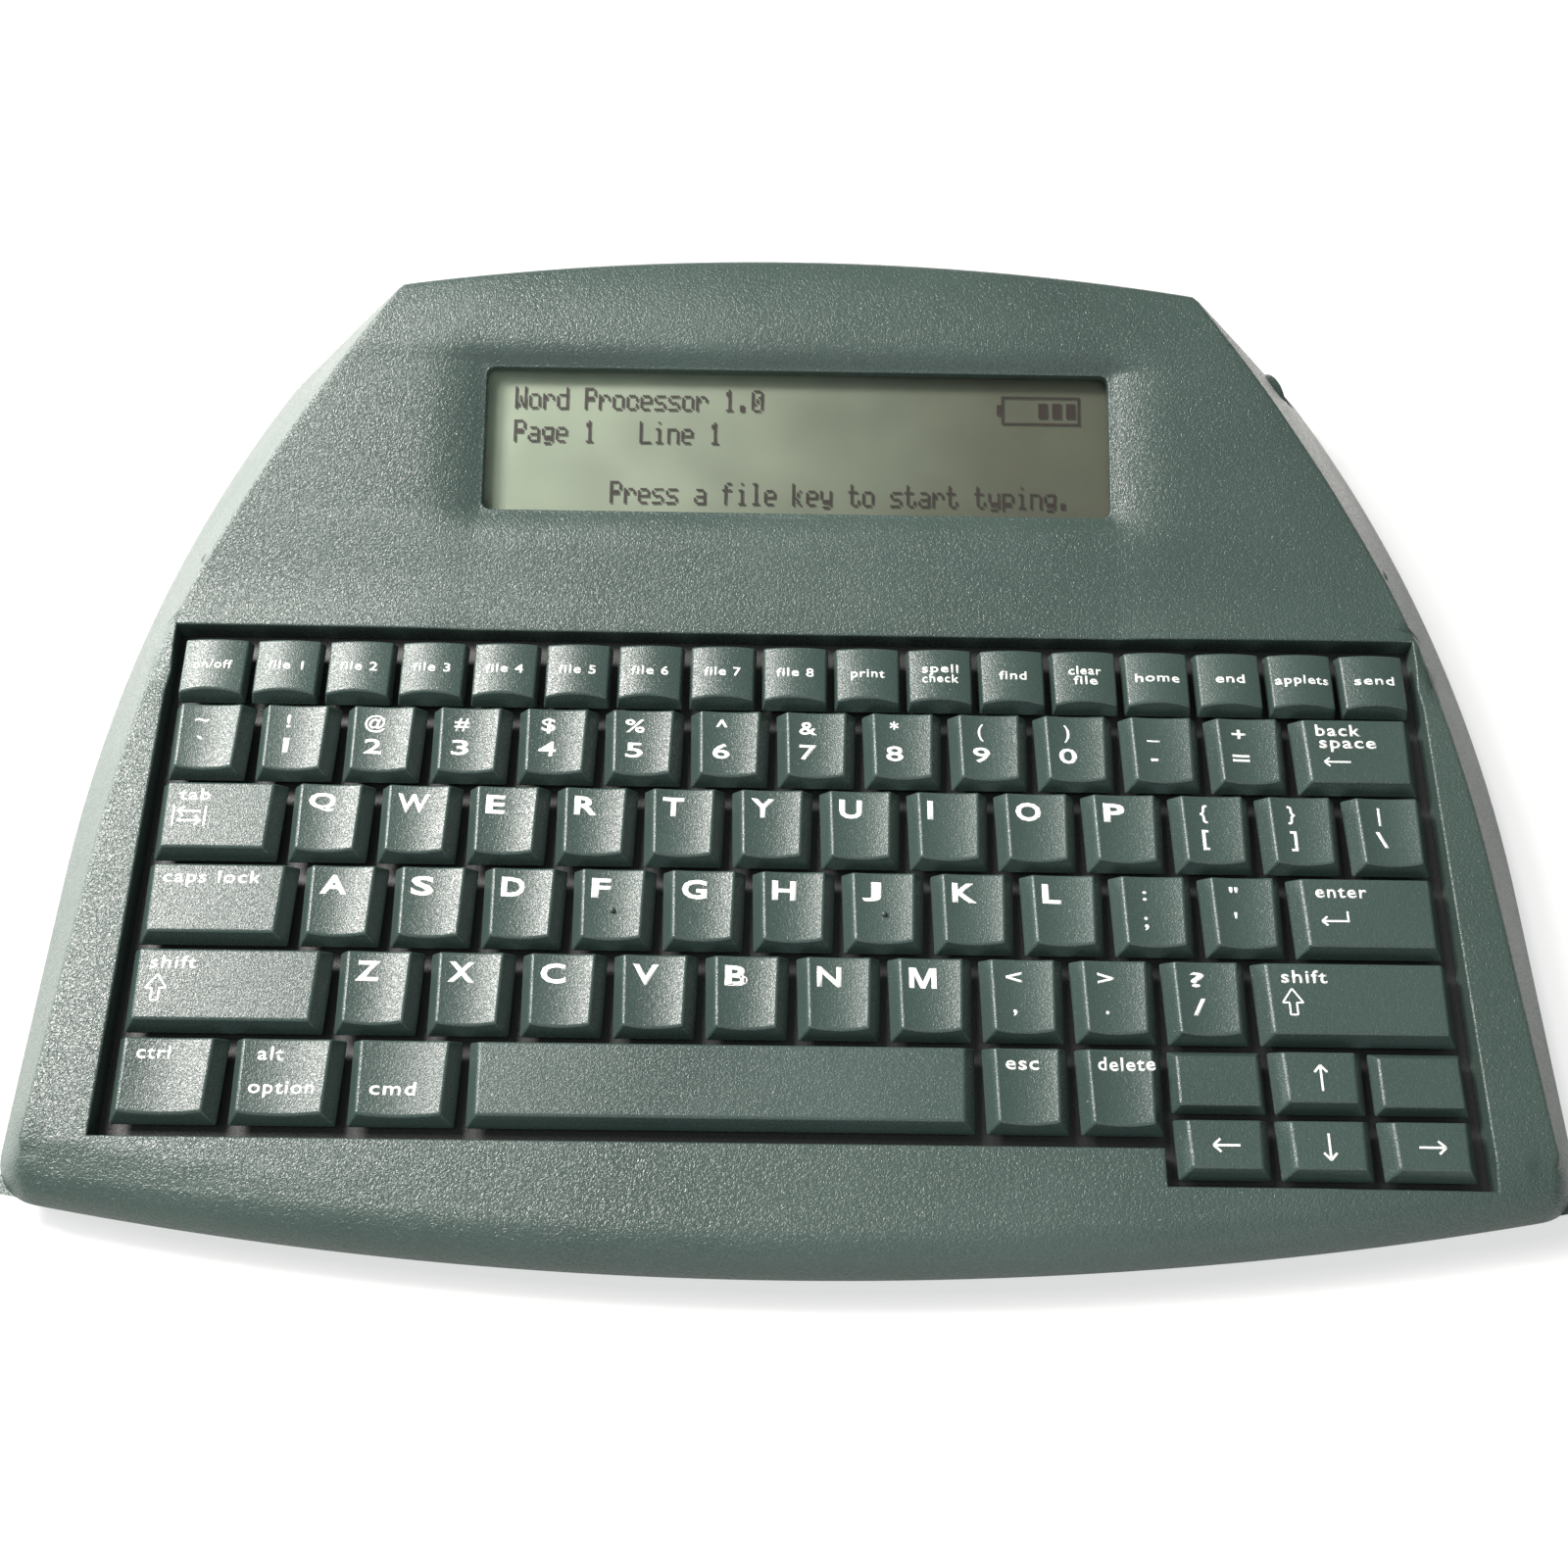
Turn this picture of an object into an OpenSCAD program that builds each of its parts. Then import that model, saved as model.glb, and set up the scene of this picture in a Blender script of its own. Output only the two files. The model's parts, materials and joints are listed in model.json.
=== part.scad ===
// Portable electronic word processor: wedge-shaped housing, full-size keyboard, small LCD.
// Frame: X to the user's right, Y away from the user, Z up. The origin is on the table,
// under the middle of the housing. Sizes are in millimetres.

/* [Keyboard] */
// Distance between neighbouring letter keys
key_pitch = 19.05; // [16:0.05:23]
// Free gap between neighbouring key caps
key_gap = 1.05; // [0.8:0.05:1.6]
// Height of a letter cap's rim above its skirt
key_h = 4.2; // [3.6:0.1:5]
// Travel of every key
key_travel = 2.8; // [2:0.1:3]
// Depth of the finger dish in a letter cap
dish_depth = 0.9; // [0.4:0.1:1.2]
// Outside diameter of a key's plunger
plunger_d = 5.4; // [4:0.1:6]

/* [Housing] */
// Deck beside the key field, from the keys to the flank
side_margin = 12.1; // [10:0.1:17]
// Deck in front of the space-bar row, from the keys to the nose
front_margin = 27.4; // [24:0.1:34]
// Deck height above the table, in front of the space-bar row
deck_h = 15.75; // [15:0.05:20]
// Height of the hood's crest
body_h = 50; // [47:0.5:62]
// Slope of the deck, in degrees
deck_slope = 4.5; // [3:0.1:6]
// Slope of the hood, in degrees
hood_slope = 19.5; // [18:0.1:22]
// Wall of the housing
wall = 2.2; // [1.8:0.1:2.7]
// Height of the parting line between the shells
part_z = 8; // [7.5:0.1:8.5]
// Height of the underside above the table
base_z = 2.5; // [2:0.1:3]
// Radius of the side curves behind the straight sides
side_r = 345; // [300:5:420]
// Bow of the front edge, seen from above
front_bow = 14.8; // [10:0.1:18]
// Radius of the rear wall, seen from above
back_r = 491; // [400:1:600]
// Radius of the rolled lip at the nose
lip_r = 11; // [10:0.5:12]
// Radius of the two front corners, at the parting line
corner_r = 7; // [6.5:0.1:9]

/* [Display] */
// Width of the display opening
window_w = 146.5; // [120:0.5:176]
// Height of the display opening, along the hood
window_h = 35; // [29:0.5:42]
// Depth of the display window under the hood's surface
window_depth = 5.2; // [4.6:0.1:6]
// Thickness of the display window
lens_t = 1.5; // [1:0.1:2]
// Radius of the display opening's corners
window_corner = 2; // [1:0.1:3]

/* [Power and fixings] */
// Diameter of one AA cell
cell_d = 14.5; // [12.1:0.1:14.6]
// Length of one AA cell with its button
cell_len = 50.5; // [42:0.5:60]
// Travel of the battery door before it lifts off
door_travel = 8; // [6.5:0.5:9]
// Diameter of a rubber foot
foot_d = 12; // [8:0.5:15]
// Shank diameter of the case screws
screw_d = 2.4; // [2:0.1:3]

/* [Hidden] */
$fn = 96;
round_fn = 256;
LETTERS = ["qwertyuiop", "asdfghjkl", "zxcvbnm"];

// Colours
housing_c = "#56615b";
keycap_c = "#434e49";
board_c = "#2f6b45";
steel_c = "#b4b8bb";
black_c = "#26282a";

// Key field in key pitches: X from its left end, Y from the front of the space-bar row
field_u = 14.5;
letter_start_u = [1.5, 1.75, 2.25];
letter_row_u = [3, 2, 1];
fn_count = 17;
fn_depth_u = 0.86;
arrow_x_u = 11.25;
arrow_w_u = (field_u - arrow_x_u) / 3;
arrow_row_u = [0.25, -0.46];
arrow_d_u = [0.75, 0.71];
space_u = [3.75, 5.5];
field_half = field_u * key_pitch / 2;
function col_x(u) = u * key_pitch - field_half;
function row_y(u) = (u - 2.5) * key_pitch;

// Every key as [left edge, front edge, width, depth] in pitches
number_keys_u = [for (i = [0:12]) [i, 4, 1, 1]];
punctuation_u = [[11.5, 3, 1, 1], [12.5, 3, 1, 1], [13.5, 3, 1, 1], [10.75, 2, 1, 1],
    [11.75, 2, 1, 1], [9.25, 1, 1, 1], [10.25, 1, 1, 1], [11.25, 1, 1, 1]];
modifiers_u = [[0, 3, 1.5, 1], [0, 2, 1.75, 1], [0, 0, 1.25, 1], [1.25, 0, 1.25, 1],
    [2.5, 0, 1.25, 1]];
escapes_u = [[9.25, 0, 1, 1], [10.25, 0, 1, 1]];
backspace_u = [13, 4, 1.5, 1];
enter_u = [12.75, 2, 1.75, 1];
left_shift_u = [0, 1, 2.25, 1];
right_shift_u = [12.25, 1, 2.25, 1];
space_bar_u = [space_u[0], 0, space_u[1], 1];
function_u = [for (i = [0:fn_count - 1])
    [i * field_u / fn_count, 5, field_u / fn_count, fn_depth_u]];
arrows_u = [[arrow_x_u + arrow_w_u, arrow_row_u[0], arrow_w_u, arrow_d_u[0]],
    for (i = [0:2]) [arrow_x_u + i * arrow_w_u, arrow_row_u[1], arrow_w_u, arrow_d_u[1]]];
blanks_u = [for (i = [0, 2])
    [arrow_x_u + i * arrow_w_u, arrow_row_u[0], arrow_w_u, arrow_d_u[0]]];
letters_u = [for (r = [0:2]) for (i = [0:len(LETTERS[r]) - 1])
    [letter_start_u[r] + i, letter_row_u[r], 1, 1]];
moving_u = concat(letters_u, number_keys_u, punctuation_u, modifiers_u, escapes_u,
    [backspace_u, enter_u, left_shift_u, right_shift_u, space_bar_u], function_u, arrows_u);
function key_mid(k) = [col_x(k[0] + k[2] / 2), row_y(k[1] + k[3] / 2)];

// Heights in the deck's own frame, whose zero is the bottom edge of the resting caps
deck_face = 2.5;
key_drop_gap = 0.5;
plate_top = -key_travel - key_drop_gap;
plate_t = 1.3;
dome_h = 2.9;
seat_gap = 0.05;
ceiling_z = key_h - dish_depth - 1.1;
chimney_top = ceiling_z - key_travel - 0.4;
plunger_z = chimney_top - 1.2;
sheet_top = plunger_z - 0.1 - dome_h;
sheet_t = 0.5;
circuit_top = sheet_top - sheet_t;
circuit_t = 0.4;
back_top = circuit_top - circuit_t;
back_t = 0.8;
bore_d = plunger_d + 0.3;
chimney_d = bore_d + 1.8;
cap_wall = 1.2;
side_inset = 2.5;
plan_taper = 1.5;

// Space bar's stabiliser wire, in the deck's frame: a bar in two clips and two arms
wire_d = 1.4;
wire_mid = col_x(space_u[0] + space_u[1] / 2);
wire_y = row_y(0) + 14.8;
wire_z = plate_top + 1.1;
wire_clip = 30;
wire_half = space_u[1] * key_pitch / 2 - 12.4;
wire_arm = 9;
wire_rise = key_travel + 0.3;
wire_len = sqrt(pow(wire_arm, 2) + pow(wire_rise, 2));

// The housing seen from the side, with Y from the middle of the letter keys
function deck_at(y) = deck_h + (y - row_y(0)) * tan(deck_slope);
key_z = deck_at(0) - deck_face / cos(deck_slope);
field_back = row_y(5 + fn_depth_u);
nose_y = row_y(0) - front_margin;
hood_y = field_back + 10.2;
blend_r = 60;
crest_r = 72;
crest_edge_r = 4;
crest_lap = 1;
back_draft = 15;
flank_k = 0.8;
function hood_at(y) = deck_at(hood_y) + (y - hood_y) * tan(hood_slope);
crest_y = hood_y
    + (body_h - crest_r + crest_r / cos(hood_slope) - deck_at(hood_y)) / tan(hood_slope);
back_y = crest_y - crest_lap + crest_edge_r / cos(back_draft)
    + (body_h - crest_edge_r - part_z) * tan(back_draft);
mid_y = (nose_y + back_y) / 2;
half_w = field_half + side_margin + flank_k * (deck_at(0) - part_z);
bend_y = 10;
side_cx = side_r - half_w;
front_r = (half_w * half_w + front_bow * front_bow) / (2 * front_bow);
front_cy = nose_y + front_r;
back_cy = back_y - back_r;
edge_break = 0.15;
lip_z = deck_at(nose_y + 10) - lip_r / cos(deck_slope) + edge_break;
lip_cr = front_r - sqrt(pow(lip_r, 2) - pow(part_z - lip_z, 2));
floor_t = 2.2;
floor_z = base_z + floor_t;
under_gap = 0.8;
corner_x = half_w - corner_r;
corner_y = front_cy - sqrt(pow(front_r - corner_r, 2) - corner_x * corner_x);
tongue_t = 1.2;
tongue_h = 1;
tongue_gap = 0.3;

// Keyboard well in the deck's frame: [left, front, right, back] and the arrow keys' notch
well_gap = 2.5;
well = [-field_half - well_gap + 0.5, row_y(0) - 2, field_half + well_gap, field_back + 3.3];
notch_x = col_x(arrow_x_u) - 1.6;
notch_y = row_y(arrow_row_u[1]) - 0.9;
skirt_t = 1.6;
flange = 1.5;
notch_flange = 1.2;

// Display: frame tilted with the hood, its zero at the hood's face over the window's middle
display_y = hood_y + 22.4;
view_y = display_y + window_h / 2;
funnel_depth = 3;
funnel_side = 21;
funnel_top = 8;
funnel_bottom = 12;
lens_lap = 2.75;
panel_t = 2.8;
lens_rim = 2;
frame_t = 4.8;
lcd_board_t = 1.4;

// Battery bay, with Y from the middle of the letter keys
cell_pitch = cell_d + 0.7;
bay_half = cell_len / 2 + 5.5;
bay_wall = 1.8;
bay_y0 = hood_y + 30.4;
bay_y1 = bay_y0 + 3 * cell_pitch + 0.6;
bay_top = floor_z + cell_d + 0.2;
door_gap = 0.35;
door_half = bay_half + 3;
door_y0 = bay_y0 - 1.5;
door_top = floor_z - 0.3;
door_tab = [8, door_travel - 5, 0.7];
door_tab_x = bay_half - 9;
cell_end = cell_len / 2 + 0.1;
function cell_y(i) = bay_y0 + 0.3 + (i + 0.5) * cell_pitch;

// Boards and sockets; a connector is [left end, ribbon width, from the board's front, depth, height]
board_z = 9;
board_t = 1.6;
board_face = board_z + board_t;
board_half = 100;
board_y0 = hood_y + 0.5;
board_y1 = bay_y0 - 4;
key_conn = [-60, 22, 0, 5, 3.4];
lcd_conn = [-2, 14, 19, 3, 1.2];
arm_x = [-78, -bay_half - 6.5];
arm_y1 = back_y - 14;
post_d = 6;
pin_d = 2.4;
posts = [[-92, board_y0 + 6], [92, board_y0 + 6], [-92, board_y1 - 5], [92, board_y1 - 5],
    [arm_x[0] + 6, arm_y1 - 21], [arm_x[1] - 5, arm_y1 - 21]];
usb_x = -50;
usb_size = [12, 16.4, 10.8];
din_x = -70;
din_size = [14, 10.4, 13];
din_z = board_face + 6.6;
port_gap = 0.3;
function back_at(x, z) = back_cy
    + sqrt(pow(back_r - (z - part_z) * tan(back_draft), 2) - x * x);
usb_mouth = back_at(usb_x + usb_size[0] / 2, board_face + usb_size[2]) - 0.4;
din_mouth = back_at(din_x - 6, din_z + 6) - 0.4;
din_face = back_at(din_x - din_size[0] / 2, board_face + din_size[2]) - wall - 1.2;
jack_z = 17;
jack_r = side_r - (jack_z - part_z) * flank_k;
jack_turn = asin((back_y - 22.1 - bend_y) / jack_r);
jack_d = 9.6;
jack_hole = 8.5;
jack_collar = 9;
jack_len = 12;

// Case screws, as places from the middle of the letter keys
boss_d = 6.4;
head_d = 5.4;
head_h = 1.8;
boss_at = [[-half_w + 11.9, nose_y + 23], [half_w - 11.9, nose_y + 23], [-60, nose_y + 14],
    [50, nose_y + 14], [-field_half + 4, field_back + 20], [field_half - 4, field_back + 20],
    [-84, crest_y - 10], [84, crest_y - 10]];
head_z = base_z + 2.3;
screw_top = deck_at(nose_y + 14) - wall - 1;
feet_at = [[-half_w + 24, nose_y + 20], [half_w - 24, nose_y + 20], [-95, back_y - 31],
    [95, back_y - 31]];
foot_sink = 0.8;

// Places
module in_row() { translate([0, -mid_y, 0]) children(); }
module on_deck() { in_row() translate([0, 0, key_z]) rotate([deck_slope, 0, 0]) children(); }
module on_hood() {
    in_row() translate([0, view_y, hood_at(view_y)]) rotate([hood_slope, 0, 0]) children();
}
module at_jack() {
    in_row() translate([-side_cx + jack_r * cos(jack_turn), bend_y + jack_r * sin(jack_turn),
        jack_z])
        rotate([0, 90, jack_turn]) children();
}
module block(x0, x1, y0, y1, z0, z1) {
    translate([x0, y0, z0]) cube([x1 - x0, y1 - y0, z1 - z0]);
}
module mid_block(w, h, z0, z1) { block(-w / 2, w / 2, -h / 2, h / 2, z0, z1); }
module round_block(w, h, r, z0, z1) {
    mid_block(w - 2 * r, h, z0, z1);
    mid_block(w, h - 2 * r, z0, z1);
    for (x = [-1, 1], y = [-1, 1]) translate([x * (w / 2 - r), y * (h / 2 - r), z0])
        cylinder(h = z1 - z0, r = r);
}

// A slab whose outline follows the housing's sides, inset by i0 at z0 and by i1 at z1
module flanks(z0, z1, i0, i1) {
    a = half_w - i0;
    b = half_w - i1;
    translate([0, bend_y, 0]) rotate([90, 0, 0]) linear_extrude(height = bend_y - nose_y + 12)
        polygon([[-a, z0], [a, z0], [b, z1], [-b, z1]]);
    intersection() {
        for_both_sides() translate([-side_cx, bend_y, z0])
            cylinder(h = z1 - z0, r1 = side_r - i0, r2 = side_r - i1, $fn = round_fn);
        block(-half_w - 1, half_w + 1, bend_y, back_y + 12, z0, z1);
    }
}
module for_both_sides() {
    intersection() {
        children();
        mirror([1, 0, 0]) children();
    }
}

// Side view of the housing's top, w lower than its outer face
module top_profile(w) {
    t = blend_r * tan((hood_slope - deck_slope) / 2);
    by = hood_y - t * cos(deck_slope) - blend_r * sin(deck_slope);
    bz = deck_at(hood_y) - t * sin(deck_slope) + blend_r * cos(deck_slope);
    blend = [for (i = [0:6]) let (a = deck_slope + (hood_slope - deck_slope) * i / 6)
        [by + blend_r * sin(a), bz - blend_r * cos(a) - w]];
    crest = [for (i = [0:8]) let (a = hood_slope * (1 - i / 8))
        [crest_y - crest_r * sin(a), body_h - crest_r + crest_r * cos(a) - w]];
    polygon(concat([[nose_y - 9, part_z - 3], [nose_y - 9, deck_at(nose_y - 9) - w]],
        blend, crest, [[back_y + 9, body_h - w], [back_y + 9, part_z - 3]]));
}

// What the two front corners lose outside a cone of radius r0 at z0 and r1 at z1
module corner_cuts(z0, z1, r0, r1, top) {
    out = [corner_x, corner_y - front_cy] * 2 * corner_r / (front_r - corner_r);
    k = (r0 - r1) / (z1 - z0);
    foot = k < 0 ? min(1, -0.8 * r0 / k) : 1;
    for (s = [0, 1]) mirror([s, 0, 0]) translate([corner_x, corner_y, 0]) difference() {
        translate([0, 0, z0 - 1]) linear_extrude(height = top - z0 + 1)
            polygon([[0, 0], [2 * corner_r, 0], [2 * corner_r + out[0], out[1]], out]);
        translate([0, 0, z0 - foot]) cylinder(h = z1 - z0 + foot, r1 = r0 + foot * k, r2 = r1,
            $fn = round_fn);
    }
}

// Outer form of the top shell, moved inwards by w, from z0 up
module top_form(w, z0) {
    draft_w = w * sqrt(1 + flank_k * flank_k);
    z1 = body_h + 2;
    r0 = corner_r - draft_w - (z0 - part_z) * flank_k;
    difference() {
        top_block(w, z0, z1, draft_w);
        corner_cuts(z0, z0 + r0 / flank_k, r0, 0, z1);
    }
}
module top_block(w, z0, z1, draft_w) {
    intersection() {
        translate([-half_w - 5, 0, 0]) rotate([90, 0, 90])
            linear_extrude(height = 2 * half_w + 10) top_profile(w);
        flanks(z0, z1, draft_w + (z0 - part_z) * flank_k, draft_w + (z1 - part_z) * flank_k);
        translate([0, front_cy, 0]) rotate([0, 0, 245])
            rotate_extrude(angle = 50, $fn = round_fn) front_section(w, z0);
        translate([0, back_cy, 0]) rotate([0, 0, 35])
            rotate_extrude(angle = 110, $fn = round_fn) back_section(w, z0);
    }
}
module front_section(w, z0) {
    translate([lip_cr, lip_z]) circle(r = lip_r - w, $fn = round_fn);
    translate([front_r / 2, z0 - 1]) square([lip_cr - front_r / 2, body_h + 5]);
}
module back_section(w, z0) {
    r = crest_edge_r - w;
    zc = body_h - crest_edge_r;
    rc = crest_y - crest_lap - back_cy;
    foot = rc + r / cos(back_draft) + (zc - z0 + 1) * tan(back_draft);
    edge = [for (i = [0:6]) let (a = back_draft + (90 - back_draft) * i / 6)
        [rc + r * cos(a), zc + r * sin(a)]];
    polygon(concat([[back_r / 4, z0 - 1], [foot, z0 - 1]], edge,
        [[rc, body_h + 5], [back_r / 4, body_h + 5]]));
}

// Outer form of the bottom shell, moved inwards by w, from z0 up to z1
module low_form(w, z0, z1) {
    i0 = under_gap + (part_z - z0) + w * sqrt(2);
    i1 = under_gap + (part_z - z1) + w * sqrt(2);
    difference() {
        intersection() {
            flanks(z0, z1, i0, i1);
            translate([0, front_cy, z0])
                cylinder(h = z1 - z0, r1 = front_r - i0, r2 = front_r - i1, $fn = round_fn);
            translate([0, back_cy, z0])
                cylinder(h = z1 - z0, r1 = back_r - i0, r2 = back_r - i1, $fn = round_fn);
        }
        corner_cuts(z0, z1, max(corner_r - i0, 0.05), corner_r - i1, z1 + 1);
    }
}

// Lip inside the top shell's wall, along the sides and the back, that centres the shells
module tongue() {
    z0 = part_z - 0.5;
    z1 = part_z + tongue_h;
    difference() {
        tongue_form(z0, z1, 0);
        tongue_form(z0 - 0.1, z1 + 0.1, tongue_t);
    }
}
module tongue_form(z0, z1, t) {
    i = wall * sqrt(1 + flank_k * flank_k) + tongue_gap + t;
    i0 = i + (z0 - part_z) * flank_k;
    i1 = i + (z1 - part_z) * flank_k;
    intersection() {
        flanks(z0, z1, i0, i1);
        translate([0, back_cy, z0])
            cylinder(h = z1 - z0, r1 = back_r - i0, r2 = back_r - i1, $fn = round_fn);
        block(-half_w, half_w, row_y(0) - t, back_y, z0, z1);
    }
}

// Outline of the keyboard parts: the well grown by e all round, by n in front of the arrows
module key_field(e, n, z0, z1) {
    translate([0, 0, z0]) linear_extrude(height = z1 - z0) polygon([
        [well[0] - e, well[1] - e], [notch_x - e, well[1] - e], [notch_x - e, notch_y - n],
        [well[2] + e, notch_y - n], [well[2] + e, well[3] + e], [well[0] - e, well[3] + e]]);
}

// Shallow four-sided funnel round the display, its floor at funnel_depth, sunk by drop
module funnel(drop) {
    k = funnel_depth;
    x0 = window_w / 2 + 0.6;
    y0 = window_h / 2 + 0.6;
    translate([0, 0, -drop]) intersection() {
        translate([0, 60, 0]) rotate([90, 0, 0]) linear_extrude(height = 120)
            polygon([[-x0, -k], [x0, -k], [x0 + 2 * funnel_side, k], [-x0 - 2 * funnel_side, k]]);
        translate([-150, 0, 0]) rotate([90, 0, 90]) linear_extrude(height = 300)
            polygon([[-y0, -k], [y0, -k], [y0 + 2 * funnel_top, k],
                [-y0 - 2 * funnel_bottom, k]]);
    }
}

module top_shell() {
    lens_w = window_w + 2 * lens_lap;
    lens_h = window_h + 2 * lens_lap;
    color(housing_c) difference() {
        union() {
            difference() {
                in_row() top_form(0, part_z);
                in_row() top_form(wall, part_z - 1);
            }
            intersection() {
                in_row() top_form(0, part_z);
                union() {
                    on_hood() funnel(wall);
                    on_hood() mid_block(lens_w + 7, lens_h + 6,
                        -window_depth - lens_rim, -funnel_depth);
                    on_deck() key_field(skirt_t, skirt_t, plate_top + 0.2, deck_face + 1);
                    in_row() for (p = boss_at) translate([p[0], p[1], part_z])
                        cylinder(h = body_h, d = boss_d);
                    at_jack() translate([0, 0, -jack_collar])
                        cylinder(h = jack_collar + 9, d = jack_hole + 3.5);
                }
            }
        }
        on_hood() funnel(0);
        on_hood() round_block(window_w, window_h, window_corner, -window_depth - 1, 0);
        on_hood() mid_block(lens_w + 0.3, lens_h + 0.3, -window_depth - lens_rim - 1,
            -window_depth);
        on_deck() key_field(0, 0, plate_top - 2, deck_face + 6);
        in_row() for (p = boss_at) translate([p[0], p[1], part_z - 1])
            cylinder(h = screw_top - part_z + 1.6, d = screw_d + 0.1);
        at_jack() translate([0, 0, -jack_collar - 1]) cylinder(h = 30, d = jack_hole);
        port_cuts();
    }
}
module port_cuts() {
    g = port_gap;
    in_row() block(usb_x - usb_size[0] / 2 - g, usb_x + usb_size[0] / 2 + g,
        usb_mouth - 9, usb_mouth + 9, board_face - g, board_face + usb_size[2] + g);
    in_row() translate([din_x, din_mouth - 7, din_z]) rotate([-90, 0, 0])
        cylinder(h = 16, d = 12.4 + 2 * g);
}

module bottom_shell() {
    color(housing_c) difference() {
        union() {
            difference() {
                in_row() low_form(0, base_z, part_z);
                in_row() low_form(wall, floor_z, part_z + 1);
            }
            in_row() for (p = boss_at) translate([p[0], p[1], 0]) {
                translate([0, 0, base_z + 0.5]) cylinder(h = head_z + 1.6 - base_z, d = 9);
                translate([0, 0, base_z + 0.5]) cylinder(h = part_z - base_z - 0.5, d = boss_d);
            }
            in_row() block(-bay_half - bay_wall, bay_half + bay_wall, bay_y0 - bay_wall,
                bay_y1 + bay_wall, floor_z - 0.2, bay_top + 1.2);
            in_row() block(-door_half - 3, door_half + 3, bay_y0 - 6, bay_y1 + 5,
                floor_z - 0.2, floor_z + 1.3);
            keyboard_ribs();
            board_posts();
            jack_cradle();
            in_row() tongue();
        }
        in_row() block(-bay_half, bay_half, bay_y0, bay_y1, base_z - 1, bay_top);
        in_row() block(-door_half - door_gap, door_half + door_gap, door_y0 - door_gap,
            back_y + 5, base_z - 1, floor_z);
        in_row() for (s = [-1, 1]) block(s * door_tab_x - door_tab[0] / 2 - door_gap,
            s * door_tab_x + door_tab[0] / 2 + door_gap, door_y0 - door_tab[1] - 2 * door_gap,
            door_y0, door_top - door_tab[2] - 0.2, floor_z);
        in_row() for (p = boss_at) translate([p[0], p[1], 0]) {
            translate([0, 0, base_z - 1]) cylinder(h = head_z - base_z + 1, d = head_d + 0.6);
            cylinder(h = part_z + 1, d = screw_d + 0.6);
        }
        in_row() for (p = feet_at) translate([p[0], p[1], base_z - 1])
            cylinder(h = 1 + foot_sink, d = foot_d + 0.4);
    }
}
module keyboard_ribs() {
    intersection() {
        on_deck() for (u = [-0.4, -0.2, 0, 0.2, 0.4])
            block(u * 2 * field_half - 0.8, u * 2 * field_half + 0.8, well[1] + 1, well[3] - 2,
                -40, back_top - back_t - seat_gap);
        block(-half_w, half_w, -back_y, back_y, floor_z - 0.5, body_h);
    }
}
module board_posts() {
    in_row() for (p = posts) translate([p[0], p[1], floor_z - 0.5]) {
        cylinder(h = board_z - floor_z + 0.5, d = post_d);
        cylinder(h = board_face - floor_z + 1.3, d = pin_d);
    }
}
module jack_cradle() {
    top = jack_z - jack_d / 2 - seat_gap;
    at_jack() translate([jack_z - top, -4, -jack_collar - jack_len + 1])
        cube([top - floor_z + 0.5, 8, jack_len - 3]);
}

module display_window() {
    color("#aeb5a8") on_hood() mid_block(window_w + 2 * lens_lap, window_h + 2 * lens_lap,
        -window_depth - lens_t, -window_depth);
}

module lcd_panel() {
    z1 = -window_depth - lens_rim + 0.2;
    color("#8d9a86") on_hood() mid_block(window_w + 3.5, window_h + 4, z1 - panel_t, z1);
}

module lcd_frame() {
    z1 = -window_depth - lens_rim;
    color(black_c) on_hood() difference() {
        mid_block(window_w + 12.5, window_h + 10, z1 - frame_t, z1);
        mid_block(window_w + 3.9, window_h + 4.4, z1 - panel_t + 0.1, z1 + 1);
        mid_block(window_w - 3, window_h - 2, z1 - frame_t - 1, z1);
    }
}

module lcd_board() {
    z1 = -window_depth - lens_rim - frame_t;
    color(board_c) on_hood() mid_block(window_w + 10, window_h + 8, z1 - lcd_board_t, z1);
}

// Plate that guides the plungers, with a chimney round each and the space bar's clips
module keyboard_frame() {
    color(black_c) on_deck() difference() {
        union() {
            key_field(flange, notch_flange, plate_top - plate_t, plate_top);
            difference() {
                key_field(flange, notch_flange, sheet_top, plate_top);
                key_field(flange - 2, notch_flange - 2, sheet_top - 1, plate_top);
            }
            for (k = concat(moving_u, blanks_u)) translate(concat(key_mid(k), [plate_top - 0.2]))
                cylinder(h = chimney_top - plate_top + 0.2, d = chimney_d);
            for (s = [-1, 1]) translate([wire_mid + s * wire_clip, wire_y, 0])
                block(-1.5, 1.5, -1.4, 1.4, plate_top - 0.2, wire_z + 1.3);
        }
        for (k = concat(moving_u, blanks_u)) translate(concat(key_mid(k), [sheet_top - 1]))
            cylinder(h = 12, d = bore_d);
        translate([wire_mid - 60, wire_y, wire_z]) rotate([0, 90, 0])
            cylinder(h = 120, d = wire_d + 0.15, $fn = 48);
    }
}

module dome_sheet() {
    color("#cfcfc6") on_deck() {
        key_field(0, notch_flange - 3.5, sheet_top - sheet_t, sheet_top);
        for (k = moving_u) translate(concat(key_mid(k), [sheet_top - 0.1]))
            cylinder(h = dome_h + 0.1, d1 = plunger_d - 0.8, d2 = plunger_d - 3.2);
    }
}

module membrane_circuit() {
    color("#d8dcd2") on_deck()
        key_field(0, notch_flange - 3.5, circuit_top - circuit_t, circuit_top);
}

module keyboard_backplate() {
    color(steel_c) on_deck() key_field(0, notch_flange - 3.5, back_top - back_t,
        back_top);
}

module main_board() {
    color(board_c) in_row() difference() {
        union() {
            block(-board_half, board_half, board_y0, board_y1, board_z, board_face);
            block(arm_x[0], arm_x[1], board_y1 - 1, arm_y1, board_z, board_face);
        }
        for (p = posts) translate([p[0], p[1], board_z - 1])
            cylinder(h = board_t + 2, d = pin_d + 0.3);
    }
}

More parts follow.
